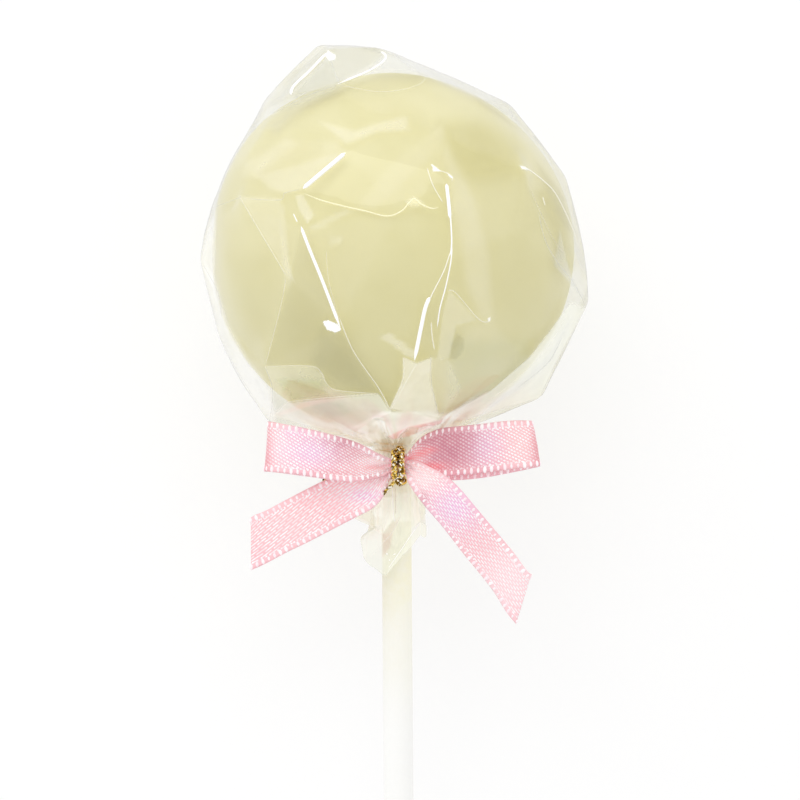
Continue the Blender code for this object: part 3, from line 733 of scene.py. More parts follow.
def edgeAt(angle):
    for low, high in zip(neck["edge"], neck["edge"][1:]):
        if low[0] <= angle <= high[0]:
            t = (angle - low[0]) / (high[0] - low[0])
            return [a + (b - a) * t for a, b in zip(low[1:], high[1:])]
    return neck["edge"][0][1:]


def waveSum(waves, turn):
    return sum(share * math.cos(count * turn + shift) for count, share, shift in waves)


def foldWave(turn):
    # The gathered folds round the neck, from -1 to 1
    return waveSum(neck["foldWaves"], turn)


def neckRadius(height):
    rows = neck["profile"]
    for (a, wide), (b, nextWide) in zip(rows, rows[1:]):
        if a >= height >= b:
            t = ease((height - a) / (b - a), 0, 1)
            return wide + (nextWide - wide) * t
    return rows[-1][1]


def neckPoint(turn, height):
    wide = neckRadius(height) + neck["folds"] * foldWave(turn) * ease(-height, *neck["foldsFrom"])
    return Vector((stick["x"] + wide * math.cos(turn), wide * math.sin(turn), height))


def skirtPoint(turn, share):
    angle = math.degrees(turn) % 360
    low, wide, spreadFrom, spreadTo = edgeAt(angle)
    for scale, depth, seed, otherSeed in neck["tatters"]:
        low += depth * noise.noise(Vector((angle * scale, seed, otherSeed)))
    top, start = neck["profile"][-1]
    height = top + (low - top) * share
    spread = min(max((spreadFrom - height) / (spreadFrom - spreadTo), 0.0), 1.0)
    radius = start + (wide - start) * math.sin(spread * math.pi / 2)
    radius += neck["folds"] * foldWave(turn) * (1 - share)
    radius += neck["folding"] * spread * waveSum(neck["skirtWaves"], turn)
    radius = max(radius, neck["least"])
    return Vector((stick["x"] + radius * math.cos(turn), radius * math.sin(turn), height))


def makeFilmBody():
    bm = bmesh.new()
    reaches = {bm.verts.new(corner.normalized()): corner for corner in filmCorners()}
    ring = []
    for i in range(film["neckCorners"]):
        corner = neckCorner(2 * math.pi * i / film["neckCorners"])
        ring.append(bm.verts.new(corner.normalized()))
        reaches[ring[-1]] = corner
    hull = bmesh.ops.convex_hull(bm, input=bm.verts)
    spare = [f for f in hull["geom_interior"] + hull["geom_unused"] if isinstance(f, bmesh.types.BMFace)]
    bmesh.ops.delete(bm, geom=spare, context="FACES")
    bmesh.ops.triangulate(bm, faces=bm.faces)
    inRing = set(ring)
    cap = [f for f in bm.faces if all(v in inRing for v in f.verts)]
    bmesh.ops.delete(bm, geom=cap, context="FACES")
    for vert, corner in reaches.items():
        vert.co = corner
    shade = bm.faces.layers.float.new("facet")
    draw = random.Random(film["facetSeed"])
    for face in bm.faces:
        face[shade] = draw.random() ** 2
    for _ in range(film["cuts"]):
        bmesh.ops.subdivide_edges(bm, edges=bm.edges[:], cuts=1, use_grid_fill=True)
    depth, height = film["finer"]
    cutFiner(bm, [e for e in bm.edges if all(v.co.y < depth or v.co.z < height for v in e.verts)])
    return bm, shade


def cutFiner(bm, edges):
    bmesh.ops.subdivide_edges(bm, edges=edges, cuts=1, use_grid_fill=True)
    bmesh.ops.triangulate(bm, faces=[f for f in bm.faces if len(f.verts) > 3])


def fromStick(way):
    # Angle in degrees between a direction and the stick
    return math.degrees(way.angle(Vector((0, 0, -1))))


def wrinkle(way):
    # Small crinkles of the film off the ball
    at = way * film["crinkleSpan"]
    height, steepness, size, seed = film["creasing"]
    crest = 1 - abs(wander(at, size, seed)) * steepness
    softHeight, softSize, softSeed = film["billows"]
    return height * max(crest, 0.0) + softHeight * wander(at, softSize, softSeed)


def shapeFilm(bm):
    height, start, full = film["gathers"]
    for vert in bm.verts:
        if vert.is_boundary:
            continue
        at = vert.co
        way = at.normalized()
        turn = math.atan2(at.y, at.x - stick["x"])
        south = fromStick(way)
        folds = height * foldWave(turn) * ease(south, start, full) if south < start else 0.0
        vert.co = at + way * (folds + wrinkle(way))
    easeFilm(bm)


def easeFilm(bm):
    # Rounds the folds a little and keeps the film off the ball
    landing = film["landing"]
    inner = [v for v in bm.verts if not v.is_boundary]
    for _ in range(film["rounding"]):
        bmesh.ops.smooth_vert(bm, verts=inner, factor=0.5, use_axis_x=True, use_axis_y=True, use_axis_z=True)
    for vert in inner:
        far = vert.co.length
        way = vert.co / far
        least = ballReach(way) + film["clearance"]
        over = far - least
        if over < landing:
            vert.co = way * (least + landing * math.exp(over / landing - 1))


def sharpenBorders(bm):
    # Finer faces where a facet ends, so that its border is crisp
    boxes = facetBoxes()
    share, more = film["sharpReach"]
    for limit in film["sharpening"]:
        chosen = []
        for edge in bm.edges:
            a, b = edge.verts[0].co, edge.verts[1].co
            if (a.y + b.y) / 2 > film["sharpDepth"]:
                continue
            x, z = inPicture((a + b) / 2)
            near = share * math.hypot(a.x - b.x, a.z - b.z) + more
            for left, right, low, high, outline, _colour, _cover, soft in boxes:
                if soft < limit and left - near < x < right + near and low - near < z < high + near:
                    if abs(insideDepth(x, z, outline)) < near + soft:
                        chosen.append(edge)
                        break
        cutFiner(bm, chosen)


def addNeck(bm):
    rim = [v for v in bm.verts if v.is_boundary]
    turnOf = {v: math.atan2(v.co.y, v.co.x - stick["x"]) % (2 * math.pi) for v in rim}
    rim.sort(key=turnOf.get)
    turns = [turnOf[v] for v in rim]
    for vert, turn in zip(rim, turns):
        vert.co = neckPoint(turn, neck["profile"][0][0])
    top, bottom = neck["profile"][0][0], neck["profile"][-1][0]
    steps = round((top - bottom) / neck["rowHeight"])
    rows = [rim]
    for k in range(1, steps + 1):
        rows.append([bm.verts.new(neckPoint(turn, top + (bottom - top) * k / steps)) for turn in turns])
    for k in range(1, neck["skirtRows"] + 1):
        rows.append([bm.verts.new(skirtPoint(turn, k / neck["skirtRows"])) for turn in turns])
    for high, low in zip(rows, rows[1:]):
        for i in range(len(turns)):
            j = (i + 1) % len(turns)
            bm.faces.new((high[i], high[j], low[j], low[i]))


def paintFilm(bm, shade):
    # Gives each point its painted colour and how far that covers what lies behind: the haze, a painted
    # stand-in for the film's faint reflection that differs at random from facet to facet and is thicker over
    # the gathers, and the painted reflections, glints and shade of the facets
    cover = bm.verts.layers.float.new("cover")
    colour = bm.verts.layers.float_color.new("hazeAndPaintedLight")
    boxes = facetBoxes()
    most, lessInFront = film["facetHaze"]
    mist, start, full = film["mist"]
    for vert in bm.verts:
        z = vert.co.z
        facet = sum(f[shade] for f in vert.link_faces) / max(len(vert.link_faces), 1)
        south = fromStick(vert.co.normalized())
        fade = film["fade"] if z > neck["fadeFrom"] else neck["fade"]
        front = ease(-vert.co.y, -fade, fade)
        found = (film["haze"] + facet * (most - lessInFront * front), hazeAndPaintedLight["white"])
        if z < neck["mistFrom"]:
            found = layOver(found, neck["mist"], hazeAndPaintedLight["reed"])
        elif south < start:
            found = layOver(found, mist * ease(south, start, full), hazeAndPaintedLight["mist"])
        if front > 0:
            x, z = inPicture(vert.co)
            for left, right, low, high, outline, paint, strength, soft in boxes:
                if left - soft < x < right + soft and low - soft < z < high + soft:
                    share = front * strength * ease(insideDepth(x, z, outline), -soft, soft)
                    if share > 0:
                        found = layOver(found, share, hazeAndPaintedLight[paint])
        vert[cover] = found[0]
        vert[colour] = (*found[1], 1.0)


def makeFilmMaterial():
    material, tree, shader = newMaterial("clearFilm")
    least, more = film["cloudCover"]
    clouds = calc(tree, "MULTIPLY_ADD", cloudMask(tree, film["clouds"]), more, least)
    cover = calc(tree, "MULTIPLY", readValue(tree, "cover"), clouds)
    falloff, edgeCover = film["steep"]
    steep = place(tree, "ShaderNodeLayerWeight", Blend=0.5).outputs["Facing"]
    cover = calc(tree, "MULTIPLY_ADD", calc(tree, "POWER", steep, falloff), edgeCover, cover)
    # The painted reflection, glint and shade colour, which also glows a little
    colour = readColour(tree, "hazeAndPaintedLight")
    feed(tree, shader.inputs["Base Color"], colour)
    feed(tree, shader.inputs["Emission Color"], colour)
    shader.inputs["Emission Strength"].default_value = film["glow"]
    shader.inputs["Roughness"].default_value = film["roughness"]
    shader.inputs["IOR"].default_value = film["density"]
    clear = place(tree, "ShaderNodeBsdfTransparent", Color=(*film["tint"], 1))
    haze = place(tree, "ShaderNodeMixShader", Fac=cover, at1=clear.outputs[0], at2=shader.outputs[0])
    gloss = place(tree, "ShaderNodeBsdfGlossy", Roughness=film["gloss"])
    fresnel = place(tree, "ShaderNodeFresnel", IOR=film["density"])
    front = place(tree, "ShaderNodeMixShader", Fac=fresnel.outputs[0], at1=haze.outputs[0],
                  at2=gloss.outputs[0])
    # Each sheet counts once: its far side lets everything through
    behind = place(tree, "ShaderNodeNewGeometry").outputs["Backfacing"]
    through = place(tree, "ShaderNodeBsdfTransparent")
    sheet = place(tree, "ShaderNodeMixShader", Fac=behind, at1=front.outputs[0], at2=through.outputs[0])
    tree.links.new(sheet.outputs[0], tree.nodes["Material Output"].inputs["Surface"])
    return material


def makeFilm():
    bm, shade = makeFilmBody()
    shapeFilm(bm)
    sharpenBorders(bm)
    easeFilm(bm)
    addNeck(bm)
    paintFilm(bm, shade)
    piece = toPiece("clear_bag", bm, makeFilmMaterial(), "bag")
    for vert in piece.data.vertices:
        vert.co.z = max(vert.co.z, film["floorGap"] * mm)
    wall = piece.modifiers.new("wall", "SOLIDIFY")
    wall.thickness = film["thickness"] * mm
    wall.offset = -1.0
    return piece


crease = {
    "steps": 10,                           # pieces between two points of a path
    "taper": (0.15, 3.5, 1.2),             # share of the width at the ends, and how fast it grows from there
    "sides": 8,
    # painted light: the creases glow a little
    "glow": 0.12,
    "roughness": 0.08,
    "density": 1.6,
}
# Sharp creases and glints as paths in the front view: points (x, z), half width, colour, cover. Their colours
# are painted highlights, reflections and shade, over the real whitening of a folded crease
creaseLines = [
    ([(-8.4, 27.2), (-10.8, 24.7), (-13.0, 22.6), (-13.4, 21.5)], 0.24, "glint", 1.0),
    ([(-1.2, 27.2), (-0.6, 26.7), (-0.8, 26.0), (-2.7, 24.7), (-7.1, 22.9)], 0.17, "glint", 0.95),
    ([(-6.1, 13.6), (-11.9, 8.8)], 0.31, "glint", 1.0),
    ([(-11.9, 8.2), (-9.4, 7.2), (-6.5, 6.4), (-3.5, 5.7), (-0.6, 5.0), (1.3, 5.6), (2.4, 6.7), (3.1, 7.3),
      (4.2, 6.5), (5.5, 6.0), (6.4, 6.1)], 0.10, "cream", 0.7),
    ([(-13.2, 5.4), (-12.7, 4.3)], 0.08, "glint", 0.9),
    ([(-12.2, 3.7), (-11.1, 0.7), (-9.35, -3.7), (-7.0, -10.0)], 0.22, "glint", 1.0),
    ([(-7.2, -8.5), (-5.2, -13.3), (-1.9, -18.2), (-0.4, -21.1)], 0.07, "white", 0.55),
    ([(4.9, 11.5), (5.7, 9.1), (7.0, 6.8)], 0.06, "white", 0.7),
    ([(5.5, 12.0), (6.4, 11.2), (7.7, 10.7), (8.3, 10.1), (8.2, 9.7)], 0.05, "white", 0.8),
    ([(7.5, 9.3), (7.65, 8.0), (7.8, 6.5), (7.95, 4.6)], 0.24, "glint", 1.0),
    ([(7.95, 6.0), (8.05, 4.2), (8.15, 1.6), (8.0, -0.4)], 0.10, "glint", 0.95),
    ([(8.2, 1.0), (8.0, -1.3), (7.3, -4.6), (6.5, -7.5), (6.1, -10.1)], 0.09, "glint", 0.9),
    ([(8.0, 0.2), (7.1, -2.4), (5.6, -5.3), (4.9, -6.8)], 0.08, "white", 0.8),
    ([(5.1, -6.0), (4.5, -7.5), (4.0, -9.7), (3.0, -14.5)], 0.27, "glint", 1.0),
    ([(5.3, -9.4), (5.4, -11.2), (5.7, -13.1)], 0.08, "white", 0.6),
    ([(17.6, 11.5), (18.7, 11.1), (20.5, 9.7), (22.0, 8.2), (23.4, 5.6), (25.0, 1.9)], 0.08, "white", 0.85),
    ([(20.5, 7.4), (20.8, 6.3)], 0.07, "white", 0.8),
    ([(19.9, 5.3), (20.8, 1.6), (22.4, -1.4), (24.6, -4.2), (26.3, -7.7)], 0.05, "grey", 0.5),
    ([(18.8, 8.6), (20.6, 4.4), (22.3, 1.0), (23.8, -0.6)], 0.05, "beige", 0.45),
    ([(7.6, -5.1), (8.7, -5.5), (11.7, -9.0), (13.1, -9.4)], 0.06, "white", 0.45),
    ([(-14.3, -3.3), (-15.1, -7.4), (-17.2, -15.1)], 0.05, "white", 0.35),
    ([(-20.5, 7.8), (-14.3, -2.9)], 0.05, "white", 0.4),
    ([(-19.6, 7.5), (-15.0, 7.3), (-14.4, 8.2), (-12.4, 8.7)], 0.06, "grey", 0.35),
    ([(-8.8, 0.4), (-8.5, -3.7), (-7.2, -8.9)], 0.04, "white", 0.35),
    ([(1.5, -14.1), (1.4, -17.1), (-0.4, -21.1)], 0.06, "white", 0.5),
    ([(3.3, -14.9), (1.4, -18.2), (-0.2, -21.1)], 0.05, "white", 0.5),
    ([(5.2, -13.8), (5.3, -17.9), (6.3, -22.3)], 0.05, "grey", 0.4),
    ([(-17.2, -15.2), (-11.1, -15.2), (-9.6, -16.1), (-8.9, -17.6), (-7.4, -18.5), (-1.9, -19.0)],
     0.06, "white", 0.4),
    ([(-14.5, -20.0), (-8.0, -19.4), (-1.9, -19.0)], 0.05, "white", 0.5),
    ([(24.1, -7.7), (20.7, -13.2), (16.2, -17.6), (12.9, -20.1)], 0.05, "white", 0.5),
    ([(22.9, -11.7), (21.0, -15.0), (17.0, -18.3)], 0.05, "grey", 0.5),
    ([(-16.0, 18.9), (-11.5, 21.2), (-6.9, 22.9)], 0.05, "grey", 0.45),
    ([(-8.0, 26.2), (-7.6, 24.8), (-6.9, 23.0)], 0.05, "grey", 0.5),
    ([(-6.9, 22.8), (-1.2, 21.8), (3.6, 22.6), (5.1, 24.1)], 0.05, "white", 0.28),
    ([(-1.9, -26.6), (-1.0, -26.75), (-0.2, -26.95)], 0.08, "gold", 0.85),
    ([(-25.9, -0.6), (-23.6, -4.9), (-23.0, -8.4)], 0.05, "grey", 0.5),
    ([(-17.2, -15.2), (-16.2, -18.4), (-16.6, -22.4)], 0.05, "grey", 0.45),
    ([(-24.4, 6.2), (-20.6, 7.6), (-20.5, 7.9)], 0.05, "grey", 0.3),
    ([(-0.76, -42.6), (1.15, -39.9), (2.3, -38.2), (3.6, -36.4)], 0.06, "glint", 0.7),
    ([(-5.0, -35.85), (-4.2, -35.95), (-3.3, -36.5), (-2.5, -37.2), (-1.5, -38.0)], 0.05, "white", 0.5),
    ([(-0.1, -31.6), (0.0, -35.3), (0.2, -36.3)], 0.07, "glint", 0.6),
    ([(0.25, -31.6), (0.3, -35.3)], 0.06, "tan", 0.35),
    ([(-3.2, -41.2), (-1.5, -39.2), (-0.3, -37.9), (0.9, -35.7)], 0.05, "white", 0.5),
    ([(-2.5, -37.2), (-1.55, -38.3)], 0.05, "white", 0.5),
    ([(-0.95, -40.55), (-0.9, -40.75)], 0.09, "glint", 0.9),
    ([(-0.58, -41.4), (-0.55, -41.6)], 0.08, "glint", 0.8),
    ([(-0.05, -40.75), (0.25, -40.65)], 0.07, "glint", 0.8),
]


def makeCreaseTree():
    tree, given, result = newTree("filmCreases", "GeometryNodeTree", {
        "Geometry": ("Geometry", None), "Sides": ("Int", 8), "Material": ("Material", None),
    }, {"Geometry": "Geometry"})
    lines = place(tree, "GeometryNodeMeshToCurve", Mesh=given.outputs["Geometry"])
    width = place(tree, "GeometryNodeInputNamedAttribute", {"data_type": "FLOAT"}, Name="width")
    outline = place(tree, "GeometryNodeCurvePrimitiveCircle", Resolution=given.outputs["Sides"], Radius=1.0)
    skin = place(tree, "GeometryNodeCurveToMesh", Curve=lines.outputs[0], Profile_Curve=outline.outputs[0],
                 Scale=width.outputs["Attribute"], Fill_Caps=True)
    smooth = place(tree, "GeometryNodeSetShadeSmooth", Geometry=skin.outputs[0])
    real = place(tree, "GeometryNodeRealizeInstances", Geometry=smooth.outputs[0])
    painted = place(tree, "GeometryNodeSetMaterial", Geometry=real.outputs[0],
                    Material=given.outputs["Material"])
    tree.links.new(painted.outputs[0], result.inputs[0])
    return tree


def makeCreaseMaterial():
    material, tree, shader = newMaterial("filmCreaseHighlight")
    # The creases' painted highlight, reflection and shade colours, which also glow a little
    tone = readColour(tree, "tone", "Vector")
    feed(tree, shader.inputs["Base Color"], tone)
    feed(tree, shader.inputs["Emission Color"], tone)
    shader.inputs["Emission Strength"].default_value = crease["glow"]
    shader.inputs["Roughness"].default_value = crease["roughness"]
    shader.inputs["IOR"].default_value = crease["density"]
    clear = place(tree, "ShaderNodeBsdfTransparent")
    skin = place(tree, "ShaderNodeMixShader", Fac=readValue(tree, "cover"), at1=clear.outputs[0],
                 at2=shader.outputs[0])
    behind = place(tree, "ShaderNodeNewGeometry").outputs["Backfacing"]
    front = place(tree, "ShaderNodeMixShader", Fac=behind, at1=skin.outputs[0], at2=clear.outputs[0])
    tree.links.new(front.outputs[0], tree.nodes["Material Output"].inputs["Surface"])
    return material


def makeCreases(bag):
    # Each path is cast from the eye on to the film
    graph = bpy.context.evaluated_depsgraph_get()
    surface = BVHTree.FromObject(bag, graph)
    back = settled.inverted()
    eye = settled @ (Vector((view["looksAt"][0], -view["distance"], view["looksAt"][2])) * mm)
    ends, growth, power = crease["taper"]
    paths = []
    for points, half, paint, cover in creaseLines:
        found = []
        for x, z in smoothPath(points, crease["steps"]):
            target = settled @ (Vector((x, 0, z)) * mm)
            hit = surface.ray_cast(eye, (target - eye).normalized())[0]
            if hit is not None:
                found.append((back @ hit) / mm)
        count = len(found)
        width = []
        for i in range(count):
            full = min(1.0, ends + growth * math.sin(math.pi * i / (count - 1)) ** power)
            width.append(half * mm * full)
        paths.append({"points": found, "values": {
            "width": width, "cover": [cover] * count, "tone": [Vector(hazeAndPaintedLight[paint])] * count}})
    holder = pathObject("film_creases", paths)
    growMesh(holder, makeCreaseTree(), {"Sides": crease["sides"], "Material": makeCreaseMaterial()})
    rideAlong(holder, "bag")


ribbon = {
    "thickness": 0.24,
    "halfWidth": 3.25,
    "steps": 8,               # rings between two stations
    "across": 18,
    "camber": 0.12,
    "pleats": (0.32, 3.0),    # folds at the knot: depth, and half waves across
    "sway": (0.10, 4.0),      # soft waves elsewhere: depth and size
    "rimThinning": 0.35,
    "shownShare": 0.54,       # of a loop's length, the part that faces the viewer
    "core": {"at": (0.7, -5.8, -28.6), "radii": (1.45, 1.0, 1.05), "pleats": (0.06, 9)},
}
# Stations: x, y, z, half width, roll of the width towards +X, its pitch towards the viewer
leftLoop = [
    (1.0, -6.2, -28.6, 0.75, 0, 0), (-0.5, -6.3, -28.6, 0.95, 0, 0),
    (-1.6, -6.9, -28.7, 1.45, 0, 0), (-3.0, -8.0, -28.5, 2.0, 0, 0),
    (-4.5, -9.0, -28.15, 2.55, -3, 0), (-6.6, -9.9, -27.75, 3.0, -6, 0),
    (-9.3, -10.4, -27.2, 3.2, -6, 0), (-12.0, -10.4, -26.65, 3.25, -4, 0),
    (-14.6, -9.9, -26.25, 3.3, 0, 0), (-16.3, -9.1, -26.0, 3.35, 3, 0),
    (-16.95, -8.1, -25.95, 3.35, 4, 0), (-16.2, -7.2, -26.05, 3.3, 3, 0),
    (-13.6, -6.6, -26.5, 3.25, 0, 0), (-10.0, -6.2, -27.1, 3.15, 0, 0),
    (-6.4, -5.9, -27.9, 2.75, 0, 0), (-3.6, -5.75, -28.45, 2.1, 0, 0),
    (-1.6, -5.5, -28.6, 1.45, 0, 0), (-0.5, -5.4, -28.6, 0.95, 0, 0),
    (1.0, -5.4, -28.6, 0.75, 0, 0),
]
rightLoop = [
    (0.4, -6.2, -28.5, 0.85, 0, 0), (1.9, -6.3, -28.3, 1.25, 0, 0),
    (3.0, -6.75, -27.75, 2.2, 3, 0), (4.4, -7.5, -27.25, 2.9, 5, 0),
    (6.4, -8.3, -26.9, 3.25, 5, 0), (9.0, -9.1, -26.7, 3.3, 4, 0),
    (12.2, -9.6, -26.38, 3.3, 2, 0), (15.6, -9.4, -26.0, 3.25, -3, 0),
    (18.0, -8.7, -25.85, 3.15, -8, 0), (19.05, -7.9, -25.85, 3.1, -10, 0),
    (18.4, -7.1, -26.0, 3.15, -9, 0), (15.6, -6.5, -26.55, 3.2, -4, 0),
    (12.0, -6.1, -27.2, 3.2, 0, 0), (8.4, -5.8, -27.75, 2.95, 0, 0),
    (5.6, -5.65, -28.2, 2.4, 0, 0), (3.4, -5.5, -28.5, 1.6, 0, 0),
    (1.9, -5.4, -28.6, 0.95, 0, 0), (0.4, -5.4, -28.6, 0.75, 0, 0),
]
leftTail = [
    (1.0, -5.75, -28.6, 0.8, 0, 0), (-0.5, -5.9, -29.0, 1.3, -10, 0),
    (-2.1, -6.35, -30.3, 2.4, -22, 0), (-4.0, -6.8, -31.65, 2.95, -27, 0),
    (-6.4, -7.1, -32.72, 3.14, -27, 0), (-9.6, -7.2, -34.28, 3.2, -26, 0),
    (-13.0, -7.0, -36.02, 3.2, -26, 0), (-16.2, -6.6, -37.6, 3.15, -25, 0),
    (-19.15, -6.1, -39.02, 3.52, 0, 0),
]
rightTail = [
    (0.4, -5.95, -28.5, 0.6, 0, 0), (1.9, -6.35, -28.7, 0.8, 10, 0),
    (3.3, -8.0, -29.8, 1.7, 45, 10), (5.8, -9.7, -32.1, 2.7, 49, 25),
    (8.4, -10.0, -35.1, 3.08, 50, 35), (11.0, -9.6, -38.4, 3.18, 51, 35),
    (13.95, -8.9, -42.0, 3.11, 52, 32), (15.95, -8.4, -44.75, 3.08, 50, 30),
    (17.35, -8.0, -46.7, 3.68, 17, 20),
]
# The cloth's own pink and the tones painted over it: pale, light and blush are painted light (pale also in
# faint random patches), lilac is painted sheen, mauve, salmon and rose are painted shade, and back is the
# painted shade of the loops' far layers. The float colour's near-white is painted highlight, and the glow is
# painted light.
satin = {
    "pink": (0.92, 0.49, 0.54),
    "pale": (0.97, 0.60, 0.61),
    "lilac": (0.86, 0.53, 0.75),
    "mauve": (0.60, 0.21, 0.285),
    "salmon": (0.90, 0.25, 0.29),
    "rose": (0.74, 0.27, 0.31),
    "light": (1.0, 0.72, 0.75),
    "blush": (0.98, 0.575, 0.60),
    "back": (0.88, 0.50, 0.56),
    "float": (1.0, 0.97, 0.98),
    "edgeFrom": 2.42,
    "backShine": 0.5,
    "sheenFalloff": 1.2,
    "patches": {"Size": 0.0016, "Detail": 3.0, "Low": 0.3, "High": 0.7},
    "patchShare": 0.1,
    "glitter": {"Size": 0.0008, "Detail": 1.0, "Low": 0.40, "High": 0.60},
    "glitterShine": (0.65, 0.45),         # brightness of the floats everywhere, and more of it in the glitter
    "rimShare": 0.2,
    "roughness": (0.5, 0.3),              # of the ground and of the floats
    "relief": (0.5, 0.05),
    "sheen": 0.25,
    "glow": 0.10,
}
# Where the light turns the satin's colour: tone, place (x, z), reach (x, z), strength
sheens = {
    "left_loop": [
        ("pale", (-14.6, -26.0), (2.4, 4.0), 1.0), ("light", (-14.8, -25.6), (1.6, 2.2), 0.6),
        ("lilac", (-10.9, -26.6), (4.4, 2.6), 1.0), ("lilac", (-13.3, -24.1), (1.8, 0.9), 0.7),
        ("mauve", (-6.0, -25.3), (3.2, 0.9), 0.8), ("mauve", (-5.8, -27.0), (3.4, 2.0), 0.46),
        ("rose", (-9.6, -29.7), (5.6, 0.6), 0.5), ("light", (-1.8, -28.3), (2.8, 2.0), 1.0),
        ("salmon", (-2.4, -28.9), (1.9, 0.4), 0.6), ("mauve", (-2.8, -30.2), (2.4, 0.4), 0.5),
        ("mauve", (-3.4, -27.2), (2.2, 0.3), 0.45),
        ("rose", (-17.45, -26.0), (1.15, 8.0), 1.0),
    ],
    "right_loop": [
        ("pale", (17.0, -26.0), (2.6, 4.0), 0.8), ("lilac", (11.8, -26.0), (2.8, 3.0), 0.9),
        ("mauve", (7.4, -26.8), (4.6, 3.4), 1.0), ("mauve", (7.0, -27.2), (3.2, 2.4), 0.8),
        ("mauve", (7.4, -24.3), (3.4, 0.9), 0.8), ("mauve", (9.2, -25.0), (2.8, 1.5), 0.5),
        ("light", (2.4, -28.5), (2.0, 1.6), 0.9),
        ("salmon", (2.3, -27.7), (1.1, 0.55), 1.0), ("salmon", (3.7, -27.05), (1.3, 0.5), 1.0),
        ("salmon", (4.9, -26.5), (1.1, 0.4), 0.9), ("salmon", (5.4, -28.8), (2.0, 0.6), 1.0),
        ("mauve", (4.6, -25.4), (2.4, 0.5), 0.7), ("rose", (12.4, -29.4), (6.0, 0.6), 0.5),
        ("rose", (19.7, -25.9), (1.15, 8.0), 1.0),
    ],
    "left_tail": [
        ("light", (-4.4, -31.8), (4.6, 2.8), 1.0), ("lilac", (-3.7, -32.7), (2.6, 1.1), 1.0),
        ("rose", (-6.4, -30.3), (4.4, 0.7), 0.5), ("mauve", (-1.8, -29.9), (1.4, 0.35), 0.6),
        ("blush", (-14.0, -36.4), (8.0, 5.0), 0.9),
    ],
    "right_tail": [
        ("lilac", (8.2, -34.2), (4.0, 3.6), 1.0), ("mauve", (2.5, -31.2), (0.8, 1.0), 0.8),
        ("mauve", (3.9, -32.9), (0.8, 1.2), 0.8),
        ("light", (4.0, -30.2), (2.8, 2.4), 1.0), ("light", (15.8, -44.2), (5.6, 6.2), 1.0),
    ],
}
# How bright the floats' painted highlight is in each tone
shine = {
    "pink": 0.85, "pale": 1.0, "lilac": 1.0, "mauve": 0.30, "salmon": 0.35, "rose": 0.12, "light": 0.9,
    "blush": 0.85,
}
weaveInputs = ("Angle", "Line Pitch", "Line Width", "Dash Pitch", "Dash Length", "Shift")
# Each band: its stations, the seed of its sway, which way its weave runs, how long the floats of its edges
# are, and its weave, in the order of weaveInputs
bands = {
    "left_loop": {"stations": leftLoop, "seed": 0.4, "run": 1, "floats": 0.95,
                  "weave": (24.0, 0.42, 0.52, 0.48, 0.74, 0.42)},
    "right_loop": {"stations": rightLoop, "seed": 1.3, "run": -1, "floats": 0.95,
                   "weave": (31.0, 0.40, 0.50, 0.46, 0.70, 0.35)},
    "left_tail": {"stations": leftTail, "seed": 2.2, "run": 1, "floats": 0.8,
                  "weave": (-13.0, 0.36, 0.48, 1.70, 0.80, 0.43)},
    "right_tail": {"stations": rightTail, "seed": 3.1, "run": -1, "floats": 0.8,
                   "weave": (2.0, 0.36, 0.50, 0.90, 0.68, 0.40)},
}


def bandFrames(stations):
    # Where each ring of a band lies, its directions, and how far along the band it is
    rows = smoothPath(stations, ribbon["steps"])
    places = [Vector(row[:3]) for row in rows]
    frames, far = [], 0.0
    for i, row in enumerate(rows):
        ahead = (places[min(i + 1, len(rows) - 1)] - places[max(i - 1, 0)]).normalized()
        roll, pitch = math.radians(row[4]), math.radians(row[5])
        width = Vector((math.sin(roll) * math.cos(pitch), -math.sin(pitch), math.cos(roll) * math.cos(pitch)))
        if i:
            far += (places[i] - places[i - 1]).length
        frames.append({
            "at": places[i], "width": width, "half": row[3], "out": ahead.cross(width).normalized(),
            "ahead": ahead, "far": far,
        })
    return frames


def bandPoint(spot, u, seed):
    # A point of the band's middle surface, u from -1 to 1 across it
    tight = 1 - min(spot["half"] / ribbon["halfWidth"], 1.0)
    depth, waves = ribbon["pleats"]
    fold = depth * tight * math.cos(math.pi * waves * u + seed)
    swing, size = ribbon["sway"]
    sway = swing * (1 - tight) * wander((spot["far"], u * 2.0, seed), size)
    lift = ribbon["camber"] * (1 - u * u) + fold + sway
    return spot["at"] + spot["width"] * (spot["half"] * u) + spot["out"] * lift


def satinTone(name, point, shown):
    # Colour of the cloth at a point, with the painted light, sheen and shade of the sheens, and how bright
    # its floats' painted highlight is
    # The loops' far layers get the back tone and dimmer floats: painted shade
    if not shown:
        return satin["back"], satin["backShine"]
    colour, bright = satin["pink"], shine["pink"]
    for tone, at, reach, strength in sheens[name]:
        off = ((point.x - at[0]) / reach[0]) ** 2 + ((point.z - at[1]) / reach[1]) ** 2
        share = strength * math.exp(-satin["sheenFalloff"] * off)
        colour = tuple(a + (b - a) * share for a, b in zip(colour, satin[tone]))
        bright += (shine[tone] - bright) * share
    return colour, bright


